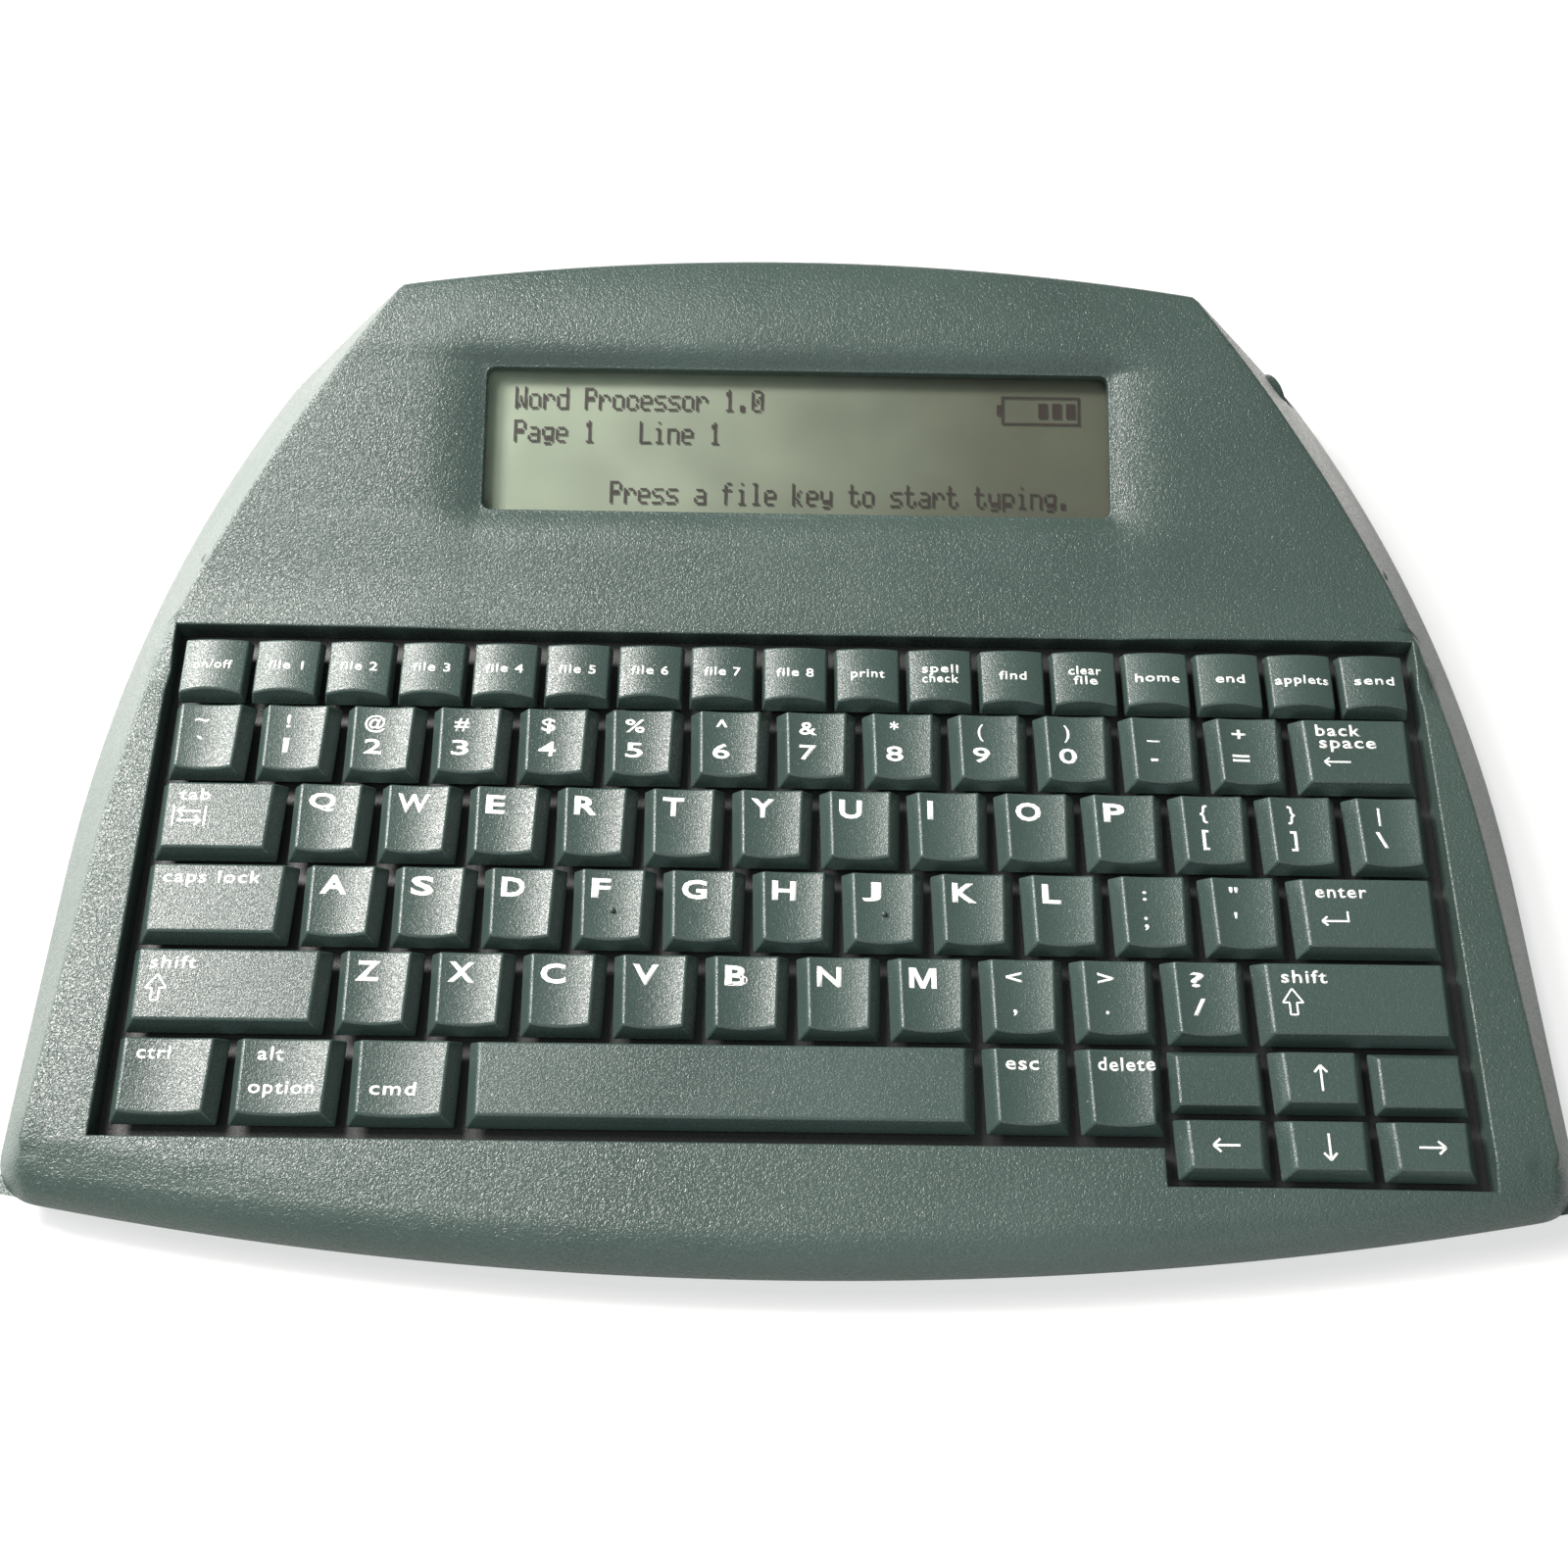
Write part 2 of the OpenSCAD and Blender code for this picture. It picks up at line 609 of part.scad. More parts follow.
// Processor, two memories, crystal and the two ribbon connectors, on the board's face
module board_chips() {
    chips = [[30, 1, 20, 20, 2.4], [-24, 8.5, 18, 10, 1.4], [4, 8.5, 18, 10, 1.4],
        [56, 6.5, 11, 4.6, 3.6]];
    color(black_c) in_row() {
        for (c = chips) translate([c[0], board_y0 + c[1], board_face]) cube([c[2], c[3], c[4]]);
        for (c = [key_conn, lcd_conn]) translate([c[0] - 2, board_y0 + c[2], board_face])
            cube([c[1] + 4, c[3], c[4]]);
    }
}

module usb_socket() {
    w = usb_size[0];
    h = usb_size[2];
    color(steel_c) in_row() translate([usb_x, usb_mouth, board_face]) difference() {
        block(-w / 2, w / 2, -usb_size[1], 0, 0, h);
        difference() {
            translate([0, 0.5, 0]) rotate([90, 0, 0]) linear_extrude(height = 9.5)
                polygon([[-4.2, 1.5], [4.2, 1.5], [4.2, 7.6], [2.6, 9.3], [-2.6, 9.3],
                    [-4.2, 7.6]]);
            block(-2.8, 2.8, -9, -0.8, 3.8, 7);
        }
    }
}

// Round eight-pin socket: neck, ring groove and pin holes
module serial_socket() {
    neck_d = 12.4;
    color(black_c) in_row() {
        difference() {
            union() {
                block(din_x - din_size[0] / 2, din_x + din_size[0] / 2, din_face - din_size[1],
                    din_face, board_face, board_face + din_size[2]);
                translate([din_x, din_face - 1, din_z]) rotate([-90, 0, 0])
                    cylinder(h = din_mouth - din_face + 1, d = neck_d);
            }
            translate([din_x, din_mouth - 6, din_z]) rotate([-90, 0, 0]) difference() {
                cylinder(h = 7, d = 9.6);
                cylinder(h = 5.5, d = 7);
            }
            for (i = [0:7]) rotate_about_din(i * 45) translate([2.3, 0, -4])
                cylinder(h = 8, d = 1, $fn = 24);
        }
    }
}
module rotate_about_din(a) {
    translate([din_x, din_mouth, din_z]) rotate([-90, 0, 0]) rotate([0, 0, a]) children();
}

module dc_jack() {
    color(black_c) at_jack() translate([0, 0, -jack_collar - 0.05]) {
        difference() {
            translate([0, 0, -jack_len]) cylinder(h = jack_len, d = jack_d);
            translate([0, 0, -9]) cylinder(h = 10, d = 6.3);
        }
        translate([0, 0, -9.5]) cylinder(h = 8.5, d = 2);
    }
}

// Sprung leaf plates at both ends of the bay, one leaf for each cell
module battery_contacts() {
    zc = floor_z + cell_d / 2;
    color(steel_c) in_row() for (s = [0, 1]) mirror([s, 0, 0]) {
        block(bay_half - 0.5, bay_half, bay_y0 + 1, bay_y1 - 1, zc - 5, zc + 5);
        for (i = [0:2]) translate([0, cell_y(i) + 3, zc]) rotate([90, 0, 0])
            linear_extrude(height = 6) polygon([[bay_half - 0.4, 4], [cell_end, 0.3],
                [cell_end, -0.3], [bay_half - 0.4, -4], [bay_half - 0.4, -3.4],
                [cell_end + 0.5, 0], [bay_half - 0.4, 3.4]]);
    }
}

module batteries() {
    color("#3b3f45") in_row() for (i = [0:2]) translate([0, cell_y(i), floor_z + cell_d / 2])
        rotate([0, i == 1 ? -90 : 90, 0]) translate([0, 0, -cell_len / 2]) {
            cylinder(h = cell_len - 1.2, d = cell_d);
            cylinder(h = cell_len, d = 5.3);
        }
}

module backup_cell() {
    color(steel_c) in_row() translate([78, board_y0 + 12, board_face]) {
        cylinder(h = 3.2, d = 20);
        cylinder(h = 4, d = 14);
    }
}

module rubber_feet() {
    color(black_c) in_row() for (p = feet_at) translate([p[0], p[1], 0]) {
        cylinder(h = 1, d1 = foot_d - 1.5, d2 = foot_d);
        translate([0, 0, 1]) cylinder(h = base_z + foot_sink - 1, d = foot_d);
    }
}

module case_screws() {
    color(steel_c) in_row() for (p = boss_at) translate([p[0], p[1], 0]) difference() {
        union() {
            translate([0, 0, head_z - head_h]) cylinder(h = head_h, d = head_d);
            translate([0, 0, head_z - 0.1]) cylinder(h = screw_top - head_z, d = screw_d);
        }
        for (a = [0, 90]) rotate([0, 0, a]) mid_block(3, 0.7, head_z - head_h - 1,
            head_z - head_h + 1);
    }
}

// Two thin bent ribbons: keyboard circuit to board, display board to board
module flat_cables() {
    a = deck_slope;
    ky = well[3] * cos(a) - circuit_top * sin(a) + 0.1;
    kz = key_z + well[3] * sin(a) + circuit_top * cos(a) - 0.4;
    k_conn = [board_y0 + key_conn[2] + key_conn[3] / 2, board_face + key_conn[4] + 0.45];
    l_back = -(window_h + 8) / 2;
    l_z = -window_depth - lens_rim - frame_t - lcd_board_t - 0.4;
    ly = view_y + l_back * cos(hood_slope) - l_z * sin(hood_slope) + 1.5;
    lz = hood_at(view_y) + l_back * sin(hood_slope) + l_z * cos(hood_slope) + 0.45;
    l_conn = [board_y0 + lcd_conn[2] + lcd_conn[3] / 2, board_face + lcd_conn[4] + 0.45];
    color("#c9b48a") in_row() {
        ribbon(key_conn[0], key_conn[1], [[ky, kz], [ky + 3, kz], k_conn]);
        ribbon(lcd_conn[0], lcd_conn[1], [[ly + 1.5, lz + 0.53], [ly, lz], l_conn]);
    }
}
module ribbon(x, w, path) {
    t = 0.35;
    translate([x, 0, 0]) rotate([90, 0, 90]) linear_extrude(height = w)
        polygon(concat([for (p = path) [p[0], p[1]]],
            [for (i = [len(path) - 1:-1:0]) [path[i][0] + t, path[i][1] - t]]));
}

// Sliding door: plate flush with the underside, two front tabs, ribbed thumb grip
module battery_door() {
    color(housing_c) in_row() difference() {
        union() {
            intersection() {
                low_form(0, base_z, part_z);
                block(-door_half, door_half, door_y0, back_y + 5, base_z - 1, door_top);
            }
            for (s = [-1, 1]) block(s * door_tab_x - door_tab[0] / 2,
                s * door_tab_x + door_tab[0] / 2, door_y0 - door_tab[1], door_y0 + 1,
                door_top - door_tab[2], door_top);
        }
        for (i = [0:5]) block(-14, 14, back_y - 14 - 2.4 * i, back_y - 12.8 - 2.4 * i,
            base_z - 1, base_z + 0.5);
    }
}

// Wire that keeps the space bar level: a bar in the frame's clips, two arms, two end pins
module spacebar_stabiliser() {
    color(steel_c) on_deck() translate([wire_mid, wire_y, wire_z]) {
        rod([-wire_half, 0, 0], [0, 90, 0], 2 * wire_half);
        for (s = [0, 1]) mirror([s, 0, 0]) {
            rod([wire_half, 0, 0], [90 - atan2(wire_rise, wire_arm), 0, 0], wire_len);
            rod([wire_half, -wire_arm, wire_rise], [0, 90, 0], 4.5);
            for (p = [[0, 0], [-wire_arm, wire_rise]]) translate([wire_half, p[0], p[1]])
                sphere(d = wire_d, $fn = 48);
        }
    }
}
module rod(at, turn, length) {
    translate(at) rotate(turn) cylinder(h = length, d = wire_d, $fn = 48);
}

// Key caps. A cell is [left, front, width, depth] in pitches; its cap stands at its middle
module at_key(k) { on_deck() translate(concat(key_mid(k), [0])) children(); }

// Cap body with sloped sides, steep back and front bevel; h is its height
module cap_form(w, d, h, inset, front, back, taper) {
    lean = atan2(inset, h);
    difference() {
        translate([-w / 2 - 1, 0, 0]) rotate([90, 0, 90]) linear_extrude(height = w + 2)
            polygon([[-d / 2, 0], [d / 2, 0], [d / 2 - back, h], [-d / 2 + front, h]]);
        for (s = [0, 1]) mirror([s, 0, 0]) translate([w / 2 - d * tan(taper) / 2, 0, 0])
            rotate([0, 0, -taper]) rotate([0, -lean, 0])
                translate([0, -d, -6]) cube([8, 2 * d, 20]);
    }
}
// Hollow under a cap and its plunger
module cap_inside(w, d, top, inset) {
    k = inset * top / key_h;
    intersection() {
        translate([0, d, 0]) rotate([90, 0, 0]) linear_extrude(height = 2 * d)
            polygon([[-w / 2 + cap_wall, -1], [w / 2 - cap_wall, -1],
                [w / 2 - cap_wall - k, top], [-w / 2 + cap_wall + k, top]]);
        translate([-w, 0, 0]) rotate([90, 0, 90]) linear_extrude(height = 2 * w)
            polygon([[-d / 2 + cap_wall, -1], [d / 2 - cap_wall, -1],
                [d / 2 - cap_wall - 0.5, top], [-d / 2 + cap_wall + 1.1, top]]);
    }
}
module plunger(top) {
    translate([0, 0, plunger_z]) cylinder(h = top - plunger_z + 0.2, d = plunger_d);
}
function cap_w(k) = k[2] * key_pitch - key_gap;
function cap_d(k) = k[3] * key_pitch - key_gap;

// Letter-size cap with a cylindrical finger dish
module dished_cap(k) {
    w = cap_w(k);
    r = (pow(w / 2 - side_inset, 2) + dish_depth * dish_depth) / (2 * dish_depth);
    at_key(k) {
        difference() {
            cap_form(w, cap_d(k), key_h, side_inset, 2.1, 0.9, plan_taper);
            translate([0, 20, key_h - dish_depth + r]) rotate([90, 0, 0])
                cylinder(h = 40, r = r, $fn = round_fn);
            cap_inside(w, cap_d(k), ceiling_z, side_inset);
        }
        plunger(ceiling_z);
    }
}
// Wide cap with a flat top
module flat_cap(k) {
    at_key(k) {
        difference() {
            cap_form(cap_w(k), cap_d(k), key_h - 0.3, side_inset, 2.1, 0.9, plan_taper);
            cap_inside(cap_w(k), cap_d(k), ceiling_z, side_inset);
        }
        plunger(ceiling_z);
    }
}
// Small cap of the function row, barrelled over its width
module barrel_cap(k) {
    r = 21;
    w = cap_w(k);
    at_key(k) {
        difference() {
            intersection() {
                cap_form(w, cap_d(k), key_h, 0.8, 2, 0.9, 0.5);
                translate([0, 20, key_h - r]) rotate([90, 0, 0])
                    cylinder(h = 40, r = r, $fn = round_fn);
            }
            cap_inside(w, cap_d(k), ceiling_z, 0.8);
        }
        plunger(ceiling_z);
    }
}

module blank_caps() {
    color(keycap_c) for (k = blanks_u) at_key(k) {
        difference() {
            cap_form(cap_w(k), cap_d(k), key_h - 1.4, 1.6, 1.6, 1.6, 0);
            cap_inside(cap_w(k), cap_d(k), ceiling_z - 0.8, 1.6);
        }
        plunger(ceiling_z - 0.8);
        translate([0, 0, chimney_top]) cylinder(h = ceiling_z - chimney_top - 0.6,
            d = chimney_d);
    }
}

module letter_key(c) {
    color(keycap_c) for (r = [0:2]) for (i = [0:len(LETTERS[r]) - 1]) if (LETTERS[r][i] == c) {
        k = [letter_start_u[r] + i, letter_row_u[r], 1, 1];
        dished_cap(k);
        if (c == "f" || c == "j") at_key(k)
            translate([0, -1, key_h - dish_depth]) sphere(d = 1.3, $fn = 32);
    }
}
module space_bar() {
    color(keycap_c) {
        flat_cap(space_bar_u);
        on_deck() for (s = [-1, 1]) translate([wire_mid + s * (wire_half + 2.2), 0, 0])
            difference() {
                block(-1.3, 1.3, wire_y - wire_arm - 2.6, wire_y - wire_arm + 2.4,
                    -0.2, ceiling_z + 0.3);
                block(-2, 2, wire_y - wire_arm - 1.6, wire_y - wire_arm + 1.4,
                    wire_z + wire_rise - 0.85, wire_z + wire_rise + 0.85);
            }
    }
}
module left_shift() { color(keycap_c) flat_cap(left_shift_u); }
module right_shift() { color(keycap_c) flat_cap(right_shift_u); }
module enter_key() { color(keycap_c) flat_cap(enter_u); }
module backspace_key() { color(keycap_c) flat_cap(backspace_u); }
module function_keys() { color(keycap_c) for (k = function_u) barrel_cap(k); }
module number_keys() { color(keycap_c) for (k = number_keys_u) dished_cap(k); }
module punctuation_keys() { color(keycap_c) for (k = punctuation_u) dished_cap(k); }
module modifier_keys() {
    color(keycap_c) {
        for (k = modifiers_u) flat_cap(k);
        for (k = escapes_u) dished_cap(k);
    }
}
module arrow_keys() { color(keycap_c) for (k = arrows_u) flat_cap(k); }

top_shell();
bottom_shell();
display_window();
lcd_panel();
lcd_frame();
lcd_board();
keyboard_frame();
dome_sheet();
membrane_circuit();
keyboard_backplate();
main_board();
board_chips();
usb_socket();
serial_socket();
dc_jack();
battery_contacts();
batteries();
backup_cell();
rubber_feet();
case_screws();
blank_caps();
flat_cables();
battery_door();
spacebar_stabiliser();
space_bar();
left_shift();
right_shift();
enter_key();
backspace_key();
function_keys();
number_keys();
punctuation_keys();
modifier_keys();
arrow_keys();
for (row = LETTERS) for (c = row)
    letter_key(c);
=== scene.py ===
"""Looks of a portable electronic word processor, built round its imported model."""
import json
import math

import bmesh
import bpy
import numpy as np
from mathutils import Euler, Matrix, Vector


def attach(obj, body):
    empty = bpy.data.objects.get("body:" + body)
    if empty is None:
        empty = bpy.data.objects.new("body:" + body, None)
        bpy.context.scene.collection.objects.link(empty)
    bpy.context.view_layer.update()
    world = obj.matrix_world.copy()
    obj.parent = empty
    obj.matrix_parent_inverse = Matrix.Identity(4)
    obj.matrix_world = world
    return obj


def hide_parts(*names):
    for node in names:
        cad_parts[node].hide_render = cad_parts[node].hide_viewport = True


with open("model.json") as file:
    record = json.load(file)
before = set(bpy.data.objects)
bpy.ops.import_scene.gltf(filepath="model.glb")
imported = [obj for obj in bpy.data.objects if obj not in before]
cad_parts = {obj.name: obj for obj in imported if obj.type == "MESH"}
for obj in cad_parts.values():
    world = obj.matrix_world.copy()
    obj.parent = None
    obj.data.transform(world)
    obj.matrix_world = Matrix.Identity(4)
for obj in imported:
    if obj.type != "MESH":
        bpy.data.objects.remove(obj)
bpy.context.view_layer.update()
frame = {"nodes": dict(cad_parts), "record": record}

# Table and studio
# A pale table top under a pale sky. Soft lamps at the left stand in for a tall window: one
# wide and low, three higher. Two weak ones fill from the ceiling and the front.
scene = bpy.context.scene
scene.view_settings.view_transform = "Standard"
table_half = 3.0
table_glow = 0.6
gloss_share = 0.12
sky_shown = 0.84
sky_light = 0.11


class Nodes:
    """A node tree being put together."""

    def __init__(self, tree):
        self.tree = tree

    def feed(self, socket, value):
        """Links an output to a socket, or sets the socket's own value."""
        if isinstance(value, bpy.types.NodeSocket):
            self.tree.links.new(value, socket)
        else:
            socket.default_value = value

    def node(self, kind, settings=None, **inputs):
        """A new node's outputs; its inputs are given by name, or as i0, i1 by number."""
        made = self.tree.nodes.new(kind)
        for key, value in (settings or {}).items():
            setattr(made, key, value)
        for key, value in inputs.items():
            numbered = key[0] == "i" and key[1:].isdigit()
            self.feed(made.inputs[int(key[1:]) if numbered else key.replace("_", " ")], value)
        return made.outputs

    def maths(self, operation, *values):
        return self.node("ShaderNodeMath", {"operation": operation},
                         **{f"i{k}": value for k, value in enumerate(values)})[0]

    def noise(self, place, scale, detail=2.0, **more):
        return self.node("ShaderNodeTexNoise", Vector=place, Scale=scale, Detail=detail,
                         **more)["Fac"]

    def spread(self, value, low, high, to_low=0.0, to_high=1.0):
        """A value between low and high, mapped to the range from to_low to to_high."""
        return self.node("ShaderNodeMapRange", Value=value, From_Min=low, From_Max=high,
                         To_Min=to_low, To_Max=to_high)[0]

    def shown(self):
        """1 for rays from the camera or through glass, and a little for rays off a gloss."""
        rays = self.node("ShaderNodeLightPath")
        seen = self.maths("MULTIPLY_ADD", rays["Is Glossy Ray"], gloss_share,
                          rays["Is Camera Ray"])
        return self.maths("MAXIMUM", seen, rays["Is Transmission Ray"])


class Finish(Nodes):
    """A material being put together: a Principled shader and the nodes that feed it."""

    def __init__(self, name, colour, rough, **plain):
        self.mat = bpy.data.materials.new(name)
        self.mat.use_nodes = True
        super().__init__(self.mat.node_tree)
        self.shader = self.tree.nodes["Principled BSDF"]
        self.set(Base_Color=(*colour, 1), Roughness=rough, **plain)
        self.place = self.node("ShaderNodeTexCoord")["Object"]

    def set(self, **values):
        for socket, value in values.items():
            self.feed(self.shader.inputs[socket.replace("_", " ")], value)

    def blend(self, share, a, b):
        a, b = [v if isinstance(v, bpy.types.NodeSocket) else (*v, 1) for v in (a, b)]
        return self.node("ShaderNodeMix", {"data_type": "RGBA"}, Factor=share, i6=a, i7=b)[2]

    def group(self, tree, scale):
        return self.node("ShaderNodeGroup", {"node_tree": tree}, Place=self.place, Scale=scale)

    def bump(self, height, depth):
        self.set(Normal=self.node("ShaderNodeBump", Height=height, Distance=depth)[0])


def placed(name, data):
    """A new object of the scene."""
    made = bpy.data.objects.new(name, data)
    scene.collection.objects.link(made)
    return made


laminate = Finish("table_white", (0.80, 0.80, 0.79), 0.6)
glow = laminate.node("ShaderNodeEmission", Color=(1, 1, 1, 1))
lit = laminate.node("ShaderNodeMixShader", i1=laminate.shader.outputs[0], i2=glow[0],
                    i0=laminate.maths("MULTIPLY", laminate.shown(), table_glow))
laminate.feed(laminate.tree.nodes["Material Output"].inputs["Surface"], lit[0])
table_mesh = bpy.data.meshes.new("table_top")
table_mesh.from_pydata([(x * table_half, y * table_half, 0) for x, y in
                        ((-1, -1), (1, -1), (1, 1), (-1, 1))], [], [(0, 1, 2, 3)])
table_mesh.materials.append(laminate.mat)
table = placed("table_top", table_mesh)

world = bpy.data.worlds.new("studio")
world.use_nodes = True
air = Nodes(world.node_tree)
sky = world.node_tree.nodes["Background"]
sky.inputs["Color"].default_value = (0.92, 1.0, 0.97, 1)
air.feed(sky.inputs["Strength"], air.maths("MULTIPLY_ADD", air.shown(), sky_shown, sky_light))
scene.world = world

for name, place, aim, width, height, watts, colour in (
        ("window_lamp", (-0.75, 0.35, 0.80), (0, 0, 0.02), 0.25, 0.25, 21, (1.0, 0.95, 0.92)),
        ("high_lamp", (-0.54, 0.39, 1.07), (-0.05, 0, 0.02), 0.35, 0.35, 9, (1.0, 0.97, 0.94)),
        ("front_lamp", (-0.66, 0.08, 1.05), (-0.05, 0, 0.02), 0.35, 0.35, 5, (1.0, 0.97, 0.94)),
        ("low_lamp", (-1.15, 0.62, 0.17), (0, 0, 0.03), 0.9, 0.3, 14, (0.92, 1.0, 0.95)),
        ("ceiling_lamp", (0, -0.38, 0.90), (0, 0.1, 0.04), 0.8, 0.22, 1.7, (0.93, 1.0, 0.99)),
        ("fill_lamp", (0.3, -1.2, 0.55), (0, 0, 0), 1.4, 0.6, 6, (0.93, 1.0, 0.99))):
    lamp_data = bpy.data.lights.new(name, "AREA")
    lamp_data.shape = "RECTANGLE"
    lamp_data.size, lamp_data.size_y = width, height
    lamp_data.energy = watts
    lamp_data.color = colour
    lamp = placed(name, lamp_data)
    lamp.location = place
    lamp.rotation_euler = (Vector(aim) - Vector(place)).to_track_quat("-Z", "Y").to_euler()

camera_data = bpy.data.cameras.new("camera")
camera_data.sensor_width = 36
camera_data.lens = 40.9
camera = placed("camera", camera_data)
camera.location = (-0.005548, -0.209837, 0.359640)
camera.rotation_euler = Euler([math.radians(a) for a in (29.5529, -0.8151, 0.4593)])
scene.camera = camera

# Top shell
# One moulded cover: the deck with the keyboard's well, the hood with the sunken display
# surround, sloping flanks, a rolled nose and a steep rear wall. Its wall is 2.2 mm.
# Sizes are in millimetres, with Y from the middle of the letter keys.
key_pitch = 19.05
field_units = 14.5
function_depth = 0.86
deck_height = 15.75
hood_height = 50.0
deck_slope = math.radians(4.5)
hood_slope = math.radians(19.5)
back_draft = math.radians(15)
cap_base = 2.5
parting = 8.0
wall = 2.2
side_margin = 12.1
side_radius = 345.0
back_radius = 491.0
front_bow = 14.8
palm_depth = 27.4
hood_gap = 10.2
window_gap = 22.4
lip_radius = 11.0
lip_lift = 0.15
corner_radius = 7.0
sharp_corner = 0.5
rear_corner = 0.6
top_edge = 0.15
bend = 10.0
flank_lean = 0.8
blend_radius = 60.0
crest_radius = 72.0
crest_edge = 4.0
crest_lap = 1.0
field_half = field_units * key_pitch / 2
space_row = -2.5 * key_pitch
field_back = (2.5 + function_depth) * key_pitch
nose = space_row - palm_depth
hood_foot = field_back + hood_gap


def deck_at(y):
    return deck_height + (y - space_row) * math.tan(deck_slope)


def hood_at(y):
    return deck_at(hood_foot) + (y - hood_foot) * math.tan(hood_slope)


keys_z = deck_at(0) - cap_base / math.cos(deck_slope)
half_width = field_half + side_margin + flank_lean * (deck_at(0) - parting)
front_radius = (half_width ** 2 + front_bow ** 2) / (2 * front_bow)
crest = hood_foot + (hood_height - crest_radius + crest_radius / math.cos(hood_slope)
                     - deck_at(hood_foot)) / math.tan(hood_slope)
back = (crest - crest_lap + crest_edge / math.cos(back_draft)
        + (hood_height - crest_edge - parting) * math.tan(back_draft))
middle = (nose + back) / 2
front_centre = nose + front_radius
back_centre = back - back_radius
side_centre = side_radius - half_width
lip_z = deck_at(nose + 10) - lip_radius / math.cos(deck_slope) + lip_lift
lip_centre = front_radius - math.sqrt(lip_radius ** 2 - (parting - lip_z) ** 2)
edge_centre = crest - crest_lap - back_centre
blend_run = blend_radius * math.tan((hood_slope - deck_slope) / 2)
blend_y = hood_foot - blend_run * math.cos(deck_slope) - blend_radius * math.sin(deck_slope)
blend_z = (deck_at(hood_foot) - blend_run * math.sin(deck_slope)
           + blend_radius * math.cos(deck_slope))
window_half = np.array([146.5, 35.0]) / 2
window_corner = 2.0
window_deep = 5.2
lens_mid = hood_foot + window_gap + window_half[1]
window_lower = 2.0
window_mid = lens_mid - window_lower * math.cos(hood_slope)
surround_deep = 3.0
rim_x, rim_y = window_half + 0.6
side_run, rear_run, front_run = 21, 8, 12
surround_edge = 0.2
surround_curve = 0.8
soft_edge = 0.8
crease, crease_run = 0.5, 6
well_left, well_front, well_right, well_back = (-field_half - 2, space_row - 2,
                                                field_half + 2.5, field_back + 3.3)
notch_left = 11.25 * key_pitch - field_half - 1.6
notch_front = -2.96 * key_pitch - 0.9
well_edge = 0.5
window_edge = 0.3


def to_frame(points):
    """Points in millimetres from the letter keys, as metres in the object's frame."""
    return (np.asarray(points, float) - (0, middle, 0)) * 0.001


def tilt(points, angle, y0, z0):
    """Points in a plane tilted about X, whose zero lies at y0, z0."""
    p = np.asarray(points, float)
    c, s = math.cos(angle), math.sin(angle)
    return np.stack([p[..., 0], y0 + p[..., 1] * c - p[..., 2] * s,
                     z0 + p[..., 1] * s + p[..., 2] * c], -1)


def untilt(points, angle, y0, z0):
    """The same points seen from within the tilted plane."""
    p = np.asarray(points, float)
    c, s = math.cos(angle), math.sin(angle)
    y, z = p[..., 1] - y0, p[..., 2] - z0
    return np.stack([p[..., 0], y * c + z * s, z * c - y * s], -1)


deck_place = (deck_slope, 0, keys_z)
hood_place = (hood_slope, window_mid, hood_at(window_mid))
lens_place = (hood_slope, lens_mid, hood_at(lens_mid))


def side_view(y):
    """Height and slope of the cover's top line at y."""
    y = np.asarray(y, float)
    z = np.where(y < hood_foot, deck_at(y), hood_at(y))
    slope = np.where(y < hood_foot, deck_slope, hood_slope)
    in_blend = (y > blend_y + blend_radius * math.sin(deck_slope)) & (
        y < blend_y + blend_radius * math.sin(hood_slope))
    a = np.arcsin(np.clip((y - blend_y) / blend_radius, -0.99, 0.99))
    z = np.where(in_blend, blend_z - blend_radius * np.cos(a), z)
    slope = np.where(in_blend, a, slope)
    a = np.arcsin(np.clip((crest - y) / crest_radius, 0, 0.99))
    in_crest = y > crest - crest_radius * math.sin(hood_slope)
    z = np.where(in_crest, hood_height - crest_radius + crest_radius * np.cos(a), z)
    return z, np.where(in_crest, a, slope)


def round_max(a, b, r):
    """The further of two distances, with the corner between them rounded."""
    return np.minimum(np.maximum(a, b), -r) + np.hypot(np.maximum(a + r, 0),
                                                       np.maximum(b + r, 0))


def surround_rise(away, run):
    """Height of the display's surround over its floor: steep at the window, then flatter."""
    share = away / run
    bowl = 1 - (1 - np.clip(share, 0, 1)) ** 3
    return surround_deep * ((1 - surround_curve) * share + surround_curve * bowl)


deep_inside = -50
hood_start = -60
search_steps = 30
search_far = 60


